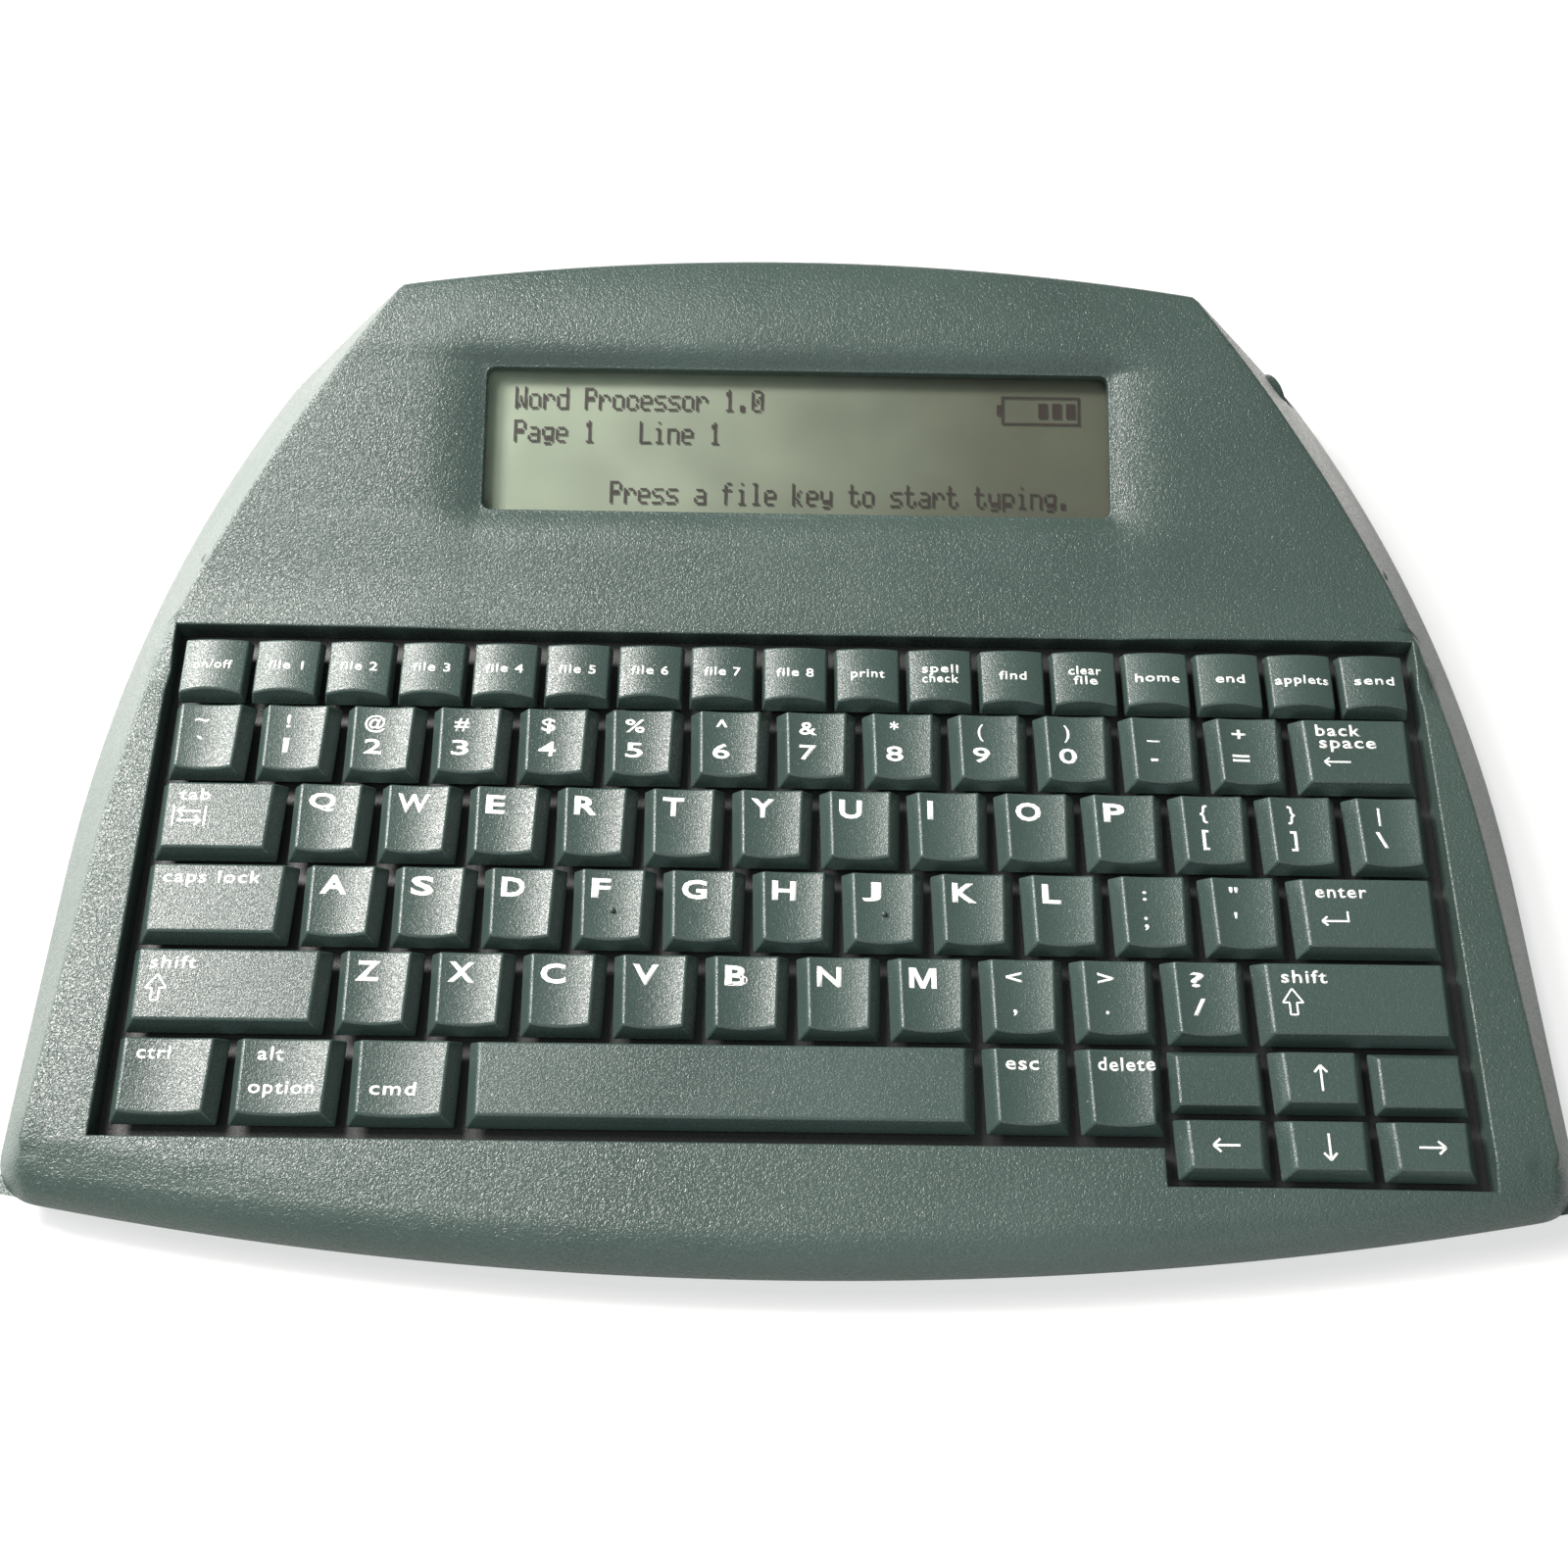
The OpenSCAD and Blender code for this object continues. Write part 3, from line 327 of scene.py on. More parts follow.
def cover_distance(p):
    """Distance of points from the cover's outer face, negative inside."""
    x, y, z = p[..., 0], p[..., 1], p[..., 2]
    top_z, slope = side_view(y)
    top = (z - top_z) * np.cos(slope)
    reach = np.where(y < bend, np.abs(x) + side_centre,
                     np.hypot(np.abs(x) + side_centre, y - bend))
    flank = (reach - side_radius + flank_lean * (z - parting)) / math.hypot(1, flank_lean)
    out = np.hypot(x, y - front_centre) - lip_centre
    lip = np.where(out > 0, np.hypot(out, z - lip_z) - lip_radius,
                   np.minimum(out, z - lip_z - lip_radius))
    u = np.hypot(x, y - back_centre) - edge_centre
    v = z - (hood_height - crest_edge)
    rear = np.where(np.arctan2(v, u) > back_draft, np.hypot(np.maximum(u, 0), v),
                    u * math.cos(back_draft) + v * math.sin(back_draft)) - crest_edge
    rear = np.where(y < 0, deep_inside, rear)
    corner = np.clip(corner_radius - flank_lean * (z - parting), sharp_corner, corner_radius)
    sides = round_max(round_max(flank, lip, corner), rear, rear_corner)
    share = np.clip((flank - lip) / crease_run + 0.5, 0, 1)
    body = round_max(top, sides, top_edge + (crease - top_edge) * share)
    hood = untilt(p, *hood_place)
    rise = round_max(surround_rise(np.abs(x) - rim_x, side_run),
                     np.maximum(surround_rise(hood[..., 1] - rim_y, rear_run),
                                surround_rise(-hood[..., 1] - rim_y, front_run)), surround_edge)
    cut = hood[..., 2] + surround_deep - np.maximum(rise, 0)
    return np.where(hood[..., 1] > hood_start, round_max(body, cut, soft_edge), body)


def surface_point(origin, direction, far, level):
    """Where rays from inside first reach the given distance from the outer face."""
    near = np.zeros(origin.shape[:-1])
    end = np.full(origin.shape[:-1], float(far))
    for _ in range(search_steps):
        mid = (near + end) / 2
        inside = cover_distance(origin + direction * mid[..., None]) < level
        near = np.where(inside, mid, near)
        end = np.where(inside, end, mid)
    return origin + direction * near[..., None]


def half_outline(y, z):
    """Half the cover's width at y and height z."""
    r = side_radius - flank_lean * (z - parting)
    return np.sqrt(r * r - np.square(np.maximum(y - bend, 0))) - side_centre


def steps(*knots):
    """A rising list from knots of value, count, value, count, ... value."""
    out = [knots[0]]
    for count, value in zip(knots[1::2], knots[2::2]):
        out += list(np.linspace(out[-1], value, count + 1)[1:])
    return np.array(out)


def deck_row(y):
    return y * math.cos(deck_slope) - cap_base * math.sin(deck_slope)


def hood_row(y):
    return window_mid + y * math.cos(hood_slope)


def smooth_step(a, b, t):
    t = np.clip((t - a) / (b - a), 0, 1)
    return t * t * (3 - 2 * t)


arc_legs = np.array([2.3, 1.4, 0.6, 0])
front_share = np.array([0, 0.1, 0.2, 0.3, 0.4, 1])
rear_share = steps(0, 14, 1)[1:]
notch_rows = deck_row(steps(notch_front - well_edge, 4, well_front - well_edge))
well_rows = deck_row(steps(well_front - well_edge, 20, well_back + well_edge))
window_rim = window_half + window_edge
leg_rows = window_rim[1] - arc_legs
patch_rows = hood_row(np.concatenate([
    steps(-34, 9, -19), [-18.4], -leg_rows[::-1], steps(-leg_rows[0], 8, leg_rows[0])[1:],
    leg_rows[1:], [18.4], steps(18.4, 5, 24)[1:]]))
blend_rows = steps(well_rows[-1], 9, patch_rows[0])
row_y = np.concatenate([np.full(len(front_share) - 1, notch_rows[0]), notch_rows,
                        well_rows[1:], blend_rows[1:], patch_rows[1:],
                        np.full(len(rear_share), patch_rows[-1])])
leg_columns = window_rim[0] - arc_legs
inner_columns = np.concatenate([steps(0, 12, leg_columns[0]), leg_columns[1:],
                                [notch_left - well_edge]])
outer_share = steps(0, 16, 1)[1:]
strip_share = np.array([0.5, 0.62, 0.74, 0.87, 1])
patch_wide, crest_wide = 98, 90
side_inset, front_inset, rear_inset = 2.5, 5.5, 3.0


def grid_x(y, side):
    """Column places at each y, on the right for side 1 and on the left for side -1."""
    well_x = (well_right if side > 0 else -well_left) + well_edge
    z, _ = side_view(y)
    edge = well_x + (patch_wide - well_x) * smooth_step(well_rows[-1], patch_rows[0], y)
    edge = edge + (crest_wide - patch_wide) * smooth_step(patch_rows[-1], crest, y)
    limit = np.maximum(half_outline(y, z) - side_inset, edge + side_inset)
    a = inner_columns[-1]
    outer = a + (edge - a)[..., None] * outer_share
    strip = edge[..., None] + (limit - edge)[..., None] * strip_share
    inner = np.broadcast_to(inner_columns, y.shape + inner_columns.shape)
    return side * np.concatenate([inner, outer, strip], -1)


def grid_plan():
    """Plan places of every grid point, as rows by columns."""
    mid = len(inner_columns) + len(outer_share) + len(strip_share) - 1
    y = np.repeat(row_y[:, None], 2 * mid + 1, 1)
    for _ in range(4):
        x = np.empty_like(y)
        for j in range(mid + 1):
            x[:, mid + j] = grid_x(y[:, mid + j], 1)[:, j]
            x[:, mid - j] = grid_x(y[:, mid - j], -1)[:, j]
        front_y = front_centre - np.sqrt((lip_centre + front_inset) ** 2 - x ** 2)
        rear_y = back_centre + np.sqrt((edge_centre - rear_inset) ** 2 - x ** 2)
        for i, share in enumerate(front_share):
            y[i] = front_y[i] + (notch_rows[0] - front_y[i]) * share
        for i, share in enumerate(rear_share, len(row_y) - len(rear_share)):
            y[i] = patch_rows[-1] + (rear_y[i] - patch_rows[-1]) * share
    return x, y


def hole_edges(mask):
    """Edges round a patch of left-out cells, and for each of their points the way out of it."""
    edges, ways = [], {}
    for i, j in np.argwhere(mask):
        ring = ((i, j), (i, j + 1), (i + 1, j + 1), (i + 1, j), (i, j))
        for k, (di, dj) in enumerate(((-1, 0), (0, 1), (1, 0), (0, -1))):
            if not mask[i + di, j + dj]:
                edges.append((ring[k], ring[k + 1]))
                for point in ring[k:k + 2]:
                    ways.setdefault(point, set()).add((dj, di))
    return edges, {point: np.sum(list(found), 0) for point, found in ways.items()}


def free_mesh(work, name):
    """The gathered shape as a mesh; the work itself is let go."""
    data = bpy.data.meshes.new(name)
    work.to_mesh(data)
    work.free()
    return data


weld = 2e-6


class Faces:
    """Points and faces gathered for one mesh."""

    def __init__(self):
        self.points, self.faces = [], []

    def add(self, points):
        start = len(self.points)
        self.points += [tuple(p) for p in points]
        return list(range(start, len(self.points)))

    def strip(self, ring_a, ring_b):
        """Faces between two closed rings."""
        for i in range(len(ring_a)):
            j = (i + 1) % len(ring_a)
            self.faces.append((ring_a[i], ring_a[j], ring_b[j], ring_b[i]))

    def strips(self, rings):
        for a, b in zip(rings, rings[1:]):
            self.strip(a, b)

    def mesh(self, name):
        """A closed mesh in the object's frame, with doubles merged and faces outwards."""
        work = bmesh.new()
        points = [work.verts.new(p) for p in to_frame(self.points)]
        for face in self.faces:
            kept = list(dict.fromkeys(face))
            if len(kept) > 2:
                work.faces.new([points[i] for i in kept])
        bmesh.ops.remove_doubles(work, verts=work.verts, dist=weld)
        bmesh.ops.dissolve_degenerate(work, edges=work.edges, dist=weld / 2)
        bmesh.ops.recalc_face_normals(work, faces=work.faces)
        return free_mesh(work, name)


sheet_start, sheet_reach = 11, 16
skirt_samples, skirt_rings = 70, 22
skirt_wall = 1.6
skirt_foot = -3.1
corner_fan = 11


def sheet_points(x, y, level):
    """Points of the cover over a plan, at a distance from its outer face."""
    z, slope = side_view(y)
    normal = np.stack([np.zeros_like(slope), -np.sin(slope), np.cos(slope)], -1)
    return surface_point(np.stack([x, y, z], -1) - normal * sheet_start, normal, sheet_reach,
                         level)


def skirt_path(start, angle, level):
    """Evenly turning points down the cover's side from each start to the parting line."""
    origin = start.copy()
    origin[:, 2] = parting
    out = np.stack([np.cos(angle), np.sin(angle), np.zeros(len(angle))], -1)
    lifts = np.radians(np.linspace(90, 0, skirt_samples))
    rays = (out[:, None] * np.cos(lifts)[None, :, None]
            + np.array([0, 0, 1]) * np.sin(lifts)[None, :, None])
    path = surface_point(np.repeat(origin[:, None], len(lifts), 1), rays, search_far, level)
    path[:, 0] = start
    step = np.diff(path, axis=1)
    length = np.linalg.norm(step, axis=2)
    unit = step / np.maximum(length, 1e-9)[..., None]
    turn = np.arccos(np.clip(np.sum(unit[:, 1:] * unit[:, :-1], -1), -1, 1))
    turn = np.concatenate([turn[:, :1], turn], 1)
    weight = length / length.sum(1)[:, None] + turn / np.maximum(turn.sum(1), 0.1)[:, None]
    run = np.concatenate([np.zeros((len(path), 1)), np.cumsum(weight, 1)], 1)
    run /= run[:, -1:]
    shares = np.linspace(0, 1, skirt_rings)
    return np.array([[np.interp(shares, r, p[:, axis]) for axis in range(3)]
                     for r, p in zip(run, path)]).transpose(2, 0, 1)


def cover_faces():
    """The whole cover: outer and inner sheets, the skirts and the walls of both openings."""
    gather = Faces()
    x, y = grid_plan()
    rows, columns = x.shape
    cell_y = (y[:-1, :-1] + y[1:, 1:]) / 2
    cell_x = (x[:-1, :-1] + x[1:, 1:]) / 2
    index = np.arange(rows - 1)[:, None]
    first_notch = len(front_share) - 1
    first_well = first_notch + len(notch_rows) - 1
    in_notch = (index >= first_notch) & (index < first_well) & (cell_x > notch_left - well_edge)
    in_well = ((index >= first_well) & (index < first_well + len(well_rows) - 1)
               & (cell_x > well_left - well_edge))
    well_mask = (in_notch | in_well) & (cell_x < well_right + well_edge)
    window_mask = ((np.abs((cell_y - window_mid) / math.cos(hood_slope)) < window_rim[1])
                   & (np.abs(cell_x) < window_rim[0]))
    well_loop, well_ways = hole_edges(well_mask)
    window_loop, window_ways = hole_edges(window_mask)
    bow = window_corner + window_edge
    for sides in ((-1, -1), (-1, 1), (1, -1), (1, 1)):
        centre = np.array(sides) * (window_rim - bow)
        for i, j in window_ways:
            local = np.array([x[i, j], (y[i, j] - window_mid) / math.cos(hood_slope)])
            away = (local - centre) * sides
            if away.min() > -1e-6:
                turn = math.radians(45 - 45 * (away[0] - away[1]) / bow)
                way = np.array([math.cos(turn), math.sin(turn)]) * sides
                window_ways[(i, j)] = way
                x[i, j], row = centre + way * bow
                y[i, j] = hood_row(row)

    outer = sheet_points(x, y, 0)
    inner_x, inner_y = x.copy(), y.copy()
    for (i, j), way in well_ways.items():
        inner_x[i, j] += way[0] * (skirt_wall - well_edge)
        inner_y[i, j] += way[1] * (skirt_wall - well_edge) * math.cos(deck_slope)
    inner = sheet_points(inner_x, inner_y, -wall)
    sheets = []
    for sheet in (outer, inner):
        ids = np.array(gather.add(sheet.reshape(-1, 3))).reshape(rows, columns)
        sheets.append(ids)
        for i, j in np.argwhere(~(well_mask | window_mask)):
            face = (ids[i, j], ids[i, j + 1], ids[i + 1, j + 1], ids[i + 1, j])
            gather.faces.append(face if sheet is outer else face[::-1])

    def wall_rings(edges, ways, place, e, sag, foot):
        """An opening's wall: an edge rounded by e, then rings at the foot's own heights."""
        points = list(ways)
        local = untilt(np.array([outer[p] for p in points]), *place)
        way = np.array([ways[p] for p in points], float)
        rings = [[sheets[0][p] for p in points]]
        for offset, kept, z in ([(-e / 2, 1, -sag), (-0.87 * e, 1, -e / 2), (-e, 1, -e)]
                                + [(offset, 0, z) for offset, z in foot]):
            ring = local.copy()
            ring[:, :2] += way * offset
            ring[:, 2] = ring[:, 2] * kept + z
            rings.append(gather.add(tilt(ring, *place)))
        rings.append([sheets[1][p] for p in points])
        number = {p: k for k, p in enumerate(points)}
        for a, b in edges:
            ka, kb = number[a], number[b]
            for upper, lower in zip(rings, rings[1:]):
                gather.faces.append((upper[ka], upper[kb], lower[kb], lower[ka]))

    wall_rings(well_loop, well_ways, deck_place, well_edge, 0.067,
               [(-well_edge, skirt_foot), (skirt_wall - well_edge, skirt_foot)])
    wall_rings(window_loop, window_ways, hood_place, window_edge, 0.04,
               [(-window_edge, -window_deep)])

    def ways_at(i, j):
        """The ways out at a border point: one, or a fan of them at a corner."""
        px, py = x[i, j], y[i, j]
        found = []
        if i == 0:
            found.append(math.atan2(py - front_centre, px))
        if i == rows - 1:
            found.append(math.atan2(py - back_centre, px))
        if j in (0, columns - 1):
            s = 1 if j else -1
            found.append(math.atan2(max(py - bend, 0), s * (abs(px) + side_centre)))
        if len(found) == 1:
            return found
        a, b = found
        b += round((a - b) / (2 * math.pi)) * 2 * math.pi
        return list(np.linspace(min(a, b), max(a, b), corner_fan))

    border = ([(0, j) for j in range(columns)] + [(i, columns - 1) for i in range(1, rows)]
              + [(rows - 1, j) for j in range(columns - 2, -1, -1)]
              + [(i, 0) for i in range(rows - 2, 0, -1)])
    stations = [(i, j, a) for i, j in border for a in ways_at(i, j)]
    angle = np.array([a for _, _, a in stations])
    skirts = []
    for ids, sheet, level in ((sheets[0], outer, 0), (sheets[1], inner, -wall)):
        path = skirt_path(np.array([sheet[i, j] for i, j, _ in stations]), angle, level)
        rings = [[int(ids[i, j]) for i, j, _ in stations]] + [gather.add(p) for p in path[1:]]
        skirts.append(rings)
        gather.strips(rings if level else rings[::-1])
    gather.strip(skirts[1][-1], skirts[0][-1])
    return gather


cover = placed("top_cover", cover_faces().mesh("top_cover"))


# Moulded plastic of the housing
# Both shells and the battery door are moulded in dark grey-green plastic with a fine
# spark-eroded grain. Years of use have left faint scuffs on the hood and dust in the corners.
scuffed_spot = (-0.02, 0.1, 0.047)
wear_scale = 170.0


def open_group(name, kind, inputs, outputs):
    """An empty node group with named sockets, and the outputs of its input node."""
    tree = bpy.data.node_groups.new(name, kind)
    for way, sockets in (("INPUT", inputs), ("OUTPUT", outputs)):
        for label, value_kind in sockets.items():
            tree.interface.new_socket(label, in_out=way, socket_type="NodeSocket" + value_kind)
    group = Nodes(tree)
    return group, group.node("NodeGroupInput")


def mask_group(name, *outputs):
    """An empty shader group that turns a place and a scale into the named values."""
    return open_group(name, "ShaderNodeTree", {"Place": "Vector", "Scale": "Float"},
                      dict.fromkeys(outputs, "Float"))


def spark_grain():
    """Short worm-like ridges, as an eroded mould leaves: their height, and their peaks for painted
    glints.
    """
    group, given = mask_group("spark_grain", "Height", "Tops")
    coarse = group.noise(given["Place"], given["Scale"], 1.5, Roughness=0.6, Distortion=0.5)
    ridge = group.maths("ABSOLUTE", group.maths("SUBTRACT", coarse, 0.5))
    dots = group.noise(given["Place"], group.maths("MULTIPLY", given["Scale"], 2.7), 0.0)
    group.node("NodeGroupOutput", Tops=group.spread(dots, 0.6, 0.72), Height=group.maths(
        "MULTIPLY_ADD", dots, 0.45, group.spread(ridge, 0.0, 0.16, 1.0, 0.0)))
    return group.tree


def scuffs_and_dust():
    """Thin pale scratches and round specks, each as a mask."""
    group, given = mask_group("scuffs_and_dust", "Scuffs", "Dust", "Patches")
    place = given["Place"]
    turned = group.node("ShaderNodeMapping", Vector=place, Rotation=(0, 0, 0.5),
                        Scale=(0.2, 3.4, 1.0))
    lines = group.noise(turned[0], given["Scale"], Roughness=0.55)
    reach = group.node("ShaderNodeVectorMath", {"operation": "DISTANCE"}, i0=place,
                       i1=scuffed_spot)["Value"]
    cells = group.node("ShaderNodeTexVoronoi", Vector=place, Scale=150.0)
    group.node("NodeGroupOutput", Patches=group.noise(place, 22.0), Scuffs=group.maths(
        "MULTIPLY", group.spread(lines, 0.72, 0.77), group.spread(reach, 0.03, 0.065, 1.0, 0.0)),
        Dust=group.maths("MULTIPLY", group.spread(cells["Distance"], 0.045, 0.02),
                         group.spread(cells["Color"], 0.72, 0.78)))
    return group.tree


grain_tree = spark_grain()
wear_tree = scuffs_and_dust()


def moulded(name, colour, rough, grain_scale, depth, scuffed, dusty, tops):
    """Grained plastic with a little wear and painted glints on the grain's peaks; grain_scale is
    ridges to the metre.
    """
    finish = Finish(name, colour, rough, Specular_IOR_Level=0.5)
    grain = finish.group(grain_tree, grain_scale)
    worn = finish.group(wear_tree, wear_scale)
    shade = finish.blend(worn["Patches"], tuple(c * 0.82 for c in colour),
                         tuple(min(1, c * 1.28) for c in colour))
    # Painted highlight: the grain's peaks are painted paler as glints. The scuffs and dust are
    # real wear.
    for mask, share, pale in ((grain["Tops"], tops, tuple(c * 0.5 + 0.16 for c in colour)),
                              (worn["Scuffs"], scuffed, (0.55, 0.57, 0.54)),
                              (worn["Dust"], dusty, (0.5, 0.5, 0.46))):
        shade = finish.blend(finish.maths("MULTIPLY", mask, share), shade, pale)
    gloss = finish.spread(worn["Patches"], 0.3, 0.7, rough - 0.02, rough + 0.08)
    speckle = finish.maths("MULTIPLY", grain["Height"], 0.12)
    finish.set(Base_Color=shade, Roughness=finish.maths("SUBTRACT", gloss, speckle))
    finish.bump(grain["Height"], depth)
    return finish.mat


# The last number is the share of painted glints on the grain's peaks.
housing_plastic = moulded("housing_plastic", (0.034, 0.055, 0.048), 0.42, 1250.0, 0.00006,
                          0.32, 0.5, 0.13)
record = frame["record"]
body_of = {node: body for body, nodes in record["behaviour"]["bodies"].items() for node in nodes}
slot_of = {part["node"]: part["material_slot"] for part in record["subparts"]}


def coat(piece, mat):
    """Gives a piece its one material."""
    piece.data.materials.clear()
    piece.data.materials.append(mat)


def applied(piece):
    """A new mesh of the object with its modifiers applied."""
    scene.view_layers[0].update()
    return bpy.data.meshes.new_from_object(piece.evaluated_get(
        bpy.context.evaluated_depsgraph_get()))


def settle(piece):
    data = applied(piece)
    piece.modifiers.clear()
    piece.data = data


def finished(piece, sharp=35):
    """Applies the piece's modifiers, smooths it and evens its normals by face area."""
    even = piece.modifiers.new("even_normals", "WEIGHTED_NORMAL")
    even.keep_sharp = True
    even.weight = 80
    for polygon in piece.data.polygons:
        polygon.use_smooth = True
    piece.data.set_sharp_from_angle(angle=math.radians(sharp))
    settle(piece)
    return piece


def stand_in(piece, mat, node):
    """A finished piece that stands for a CAD node."""
    coat(piece, mat)
    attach(piece, body_of[node])
    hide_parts(node)


def ring_points(place, side, other, radius, count):
    """Points round a circle, from side towards other."""
    turns = [2 * math.pi * k / count for k in range(count)]
    return [place + (side * math.cos(a) + other * math.sin(a)) * radius for a in turns]


def tube_faces(gather, place, axis, inner, outer, low, high, count):
    """A tube about an axis through place, from low to high along it."""
    side = axis.orthogonal().normalized()
    rings = [gather.add(ring_points(place + axis * z, side, axis.cross(side), radius, count))
             for radius, z in ((outer, low), (outer, high), (inner, high), (inner, low))]
    gather.strips(rings + rings[:1])


def pin_faces(gather, place, side, other, radius, run, count=40):
    """A solid round pin from place along run."""
    a, b = [gather.add(ring_points(p, side, other, radius, count)) for p in (place, place + run)]
    gather.strip(a, b)
    gather.faces += [tuple(a[::-1]), tuple(b)]


def box_faces(gather, low, high, place=None):
    """A plain block between two corners, in a tilted plane if one is given."""
    corners = [(x, y, z) for z in (low[2], high[2])
               for x, y in ((low[0], low[1]), (high[0], low[1]), (high[0], high[1]),
                            (low[0], high[1]))]
    ids = gather.add(tilt(corners, *place) if place else corners)
    gather.faces += [(ids[3], ids[2], ids[1], ids[0]), tuple(ids[4:])]
    gather.strip(ids[:4], ids[4:])


upward = Vector((0, 0, 1))
jack_z = 17.0
jack_bore = 4.25
jack_reach = side_radius - (jack_z - parting) * flank_lean
jack_turn = math.asin((back - 22.1 - bend) / jack_reach)
jack_way = Vector((math.cos(jack_turn), math.sin(jack_turn), 0))
jack_point = Vector((-side_centre, bend, jack_z)) + jack_way * jack_reach
usb_middle, round_middle = -50.0, -70.0
round_radius, round_rise = 6.5, 6.6
usb_half, usb_low, usb_high = 6.3, 0.3, 11.1
board_face = 10.6

holes = Faces()
pin_faces(holes, jack_point - jack_way * 8, upward, jack_way.cross(upward), jack_bore,
          jack_way * 20)
box_faces(holes, (usb_middle - usb_half, back - 20, board_face - usb_low),
          (usb_middle + usb_half, back + 6, board_face + usb_high))
pin_faces(holes, Vector((round_middle, back - 20, board_face + round_rise)), Vector((1, 0, 0)),
          upward, round_radius, Vector((0, 26, 0)))
cutter = placed("port_cutter", holes.mesh("port_cutter"))
cut = cover.modifiers.new("ports", "BOOLEAN")
cut.object = cutter
cut.solver = "EXACT"
finished(cover, 38)
bpy.data.objects.remove(cutter)

inside = Faces()
lens_x, lens_y = window_half + 2.75
rail_low, rail_high = -7.2, -5.25
rail_x, rail_y, rail_gap, rail_end = 3.5, 3, 0.15, 0.14
post_bore, post_radius, post_gap = 1.25, 3.2, 0.02
post_places = ((-half_width + 11.9, nose + 23), (half_width - 11.9, nose + 23),
               (-60, nose + 14), (50, nose + 14), (-field_half + 4, field_back + 20),
               (field_half - 4, field_back + 20), (-84, crest - 10), (84, crest - 10))
for low, high in (
        ((-lens_x - rail_x, -lens_y - rail_y), (-lens_x - rail_gap, lens_y + rail_y)),
        ((lens_x + rail_gap, -lens_y - rail_y), (lens_x + rail_x, lens_y + rail_y)),
        ((-lens_x - rail_end, -lens_y - rail_y), (lens_x + rail_end, -lens_y - rail_gap)),
        ((-lens_x - rail_end, lens_y + rail_gap), (lens_x + rail_end, lens_y + rail_y))):
    box_faces(inside, (*low, rail_low), (*high, rail_high), lens_place)
for px, py in post_places:
    roof = surface_point(np.array([[px, py, parting]]), np.array([[0.0, 0.0, 1.0]]), search_far,
                         -wall)
    tube_faces(inside, Vector((px, py, 0)), upward, post_bore, post_radius, parting + post_gap,
               float(roof[0, 2]) - post_gap, 28)
tube_faces(inside, jack_point - jack_way * 9, jack_way, jack_bore, 6, 0, 6.2, 36)
bosses = placed("cover_bosses", inside.mesh("cover_bosses"))
finished(bosses)
bpy.ops.object.select_all(action="DESELECT")
for piece in (cover, bosses):
    piece.select_set(True)
bpy.context.view_layer.objects.active = cover
bpy.ops.object.join()
stand_in(cover, housing_plastic, "top_shell")
for node in ("bottom_shell", "battery_door"):
    coat(frame["nodes"][node], housing_plastic)


# Key caps
# Moulded caps of a slightly smoother plastic than the housing. Letter caps have a finger dish,
# wide caps are flat and the function row is barrelled; each stands on one round plunger.
cap_dish = 0.9
cap_ceiling = 2.2
cap_wall = 1.2
cap_roof = 1.4
cap_edge = 0.00042
key_gap = 1.05
plunger_foot = -2.2
plunger_radius = 2.7
cap_inset = 2.5
wide_cap = 30
letters = ["qwertyuiop", "asdfghjkl", "zxcvbnm"]
letter_start = [1.5, 1.75, 2.25]
arrow_width = (field_units - 11.25) / 3
function_width = field_units / 17
cap_cells = {
    "number_keys": [(i, 4, 1, 1, "dished") for i in range(13)],
    "punctuation_keys": [(x, y, 1, 1, "dished") for x, y in
                         ((11.5, 3), (12.5, 3), (13.5, 3), (10.75, 2), (11.75, 2),
                          (9.25, 1), (10.25, 1), (11.25, 1))],
    "modifier_keys": [(0, 3, 1.5, 1, "flat"), (0, 2, 1.75, 1, "flat"),
                      (0, 0, 1.25, 1, "dished"), (1.25, 0, 1.25, 1, "dished"),
                      (2.5, 0, 1.25, 1, "dished"), (9.25, 0, 1, 1, "dished"),
                      (10.25, 0, 1, 1, "dished")],
    "backspace_key": [(13, 4, 1.5, 1, "flat")],
    "enter_key": [(12.75, 2, 1.75, 1, "flat")],
    "left_shift": [(0, 1, 2.25, 1, "flat")],
    "right_shift": [(12.25, 1, 2.25, 1, "flat")],
    "space_bar": [(3.75, 0, 5.5, 1, "flat")],
    "function_keys": [(i * function_width, 5, function_width, function_depth, "barrel")
                      for i in range(17)],
    "arrow_keys": [(11.25 + arrow_width, 0.25, arrow_width, 0.75, "flat")]
    + [(11.25 + i * arrow_width, -0.46, arrow_width, 0.71, "flat") for i in range(3)],
    "blank_caps": [(11.25 + i * arrow_width, 0.25, arrow_width, 0.75, "blank") for i in (0, 2)],
}
for row, line in enumerate(letters):
    for i, letter in enumerate(line):
        cap_cells["key_" + letter] = [(letter_start[row] + i, 3 - row, 1, 1, "dished")]
cap_forms = {"dished": (4.2, cap_inset, 2.1, 0.9, 1.5), "flat": (3.9, cap_inset, 2.1, 0.9, 1.5),
             "barrel": (4.2, 0.8, 2.0, 0.9, 0.5), "blank": (2.8, 1.6, 1.6, 1.6, 0)}
barrel_radius = 21.0


def cap_middle(cell):
    return ((cell[0] + cell[2] / 2) * key_pitch - field_half,
            (cell[1] + cell[3] / 2 - 2.5) * key_pitch)


def cap_top(cell, x):
    """Height of the cap's top face at x from its middle."""
    kind = cell[4]
    top = cap_forms[kind][0]
    x = np.asarray(x, float)
    if kind == "dished":
        half = (cell[2] * key_pitch - key_gap) / 2 - cap_inset
        r = (half ** 2 + cap_dish ** 2) / (2 * cap_dish)
        return top - cap_dish + r - np.sqrt(r * r - np.minimum(np.abs(x), half) ** 2)
    if kind == "barrel":
        return top - barrel_radius + np.sqrt(barrel_radius ** 2 - x * x)
    return np.full(x.shape, top)


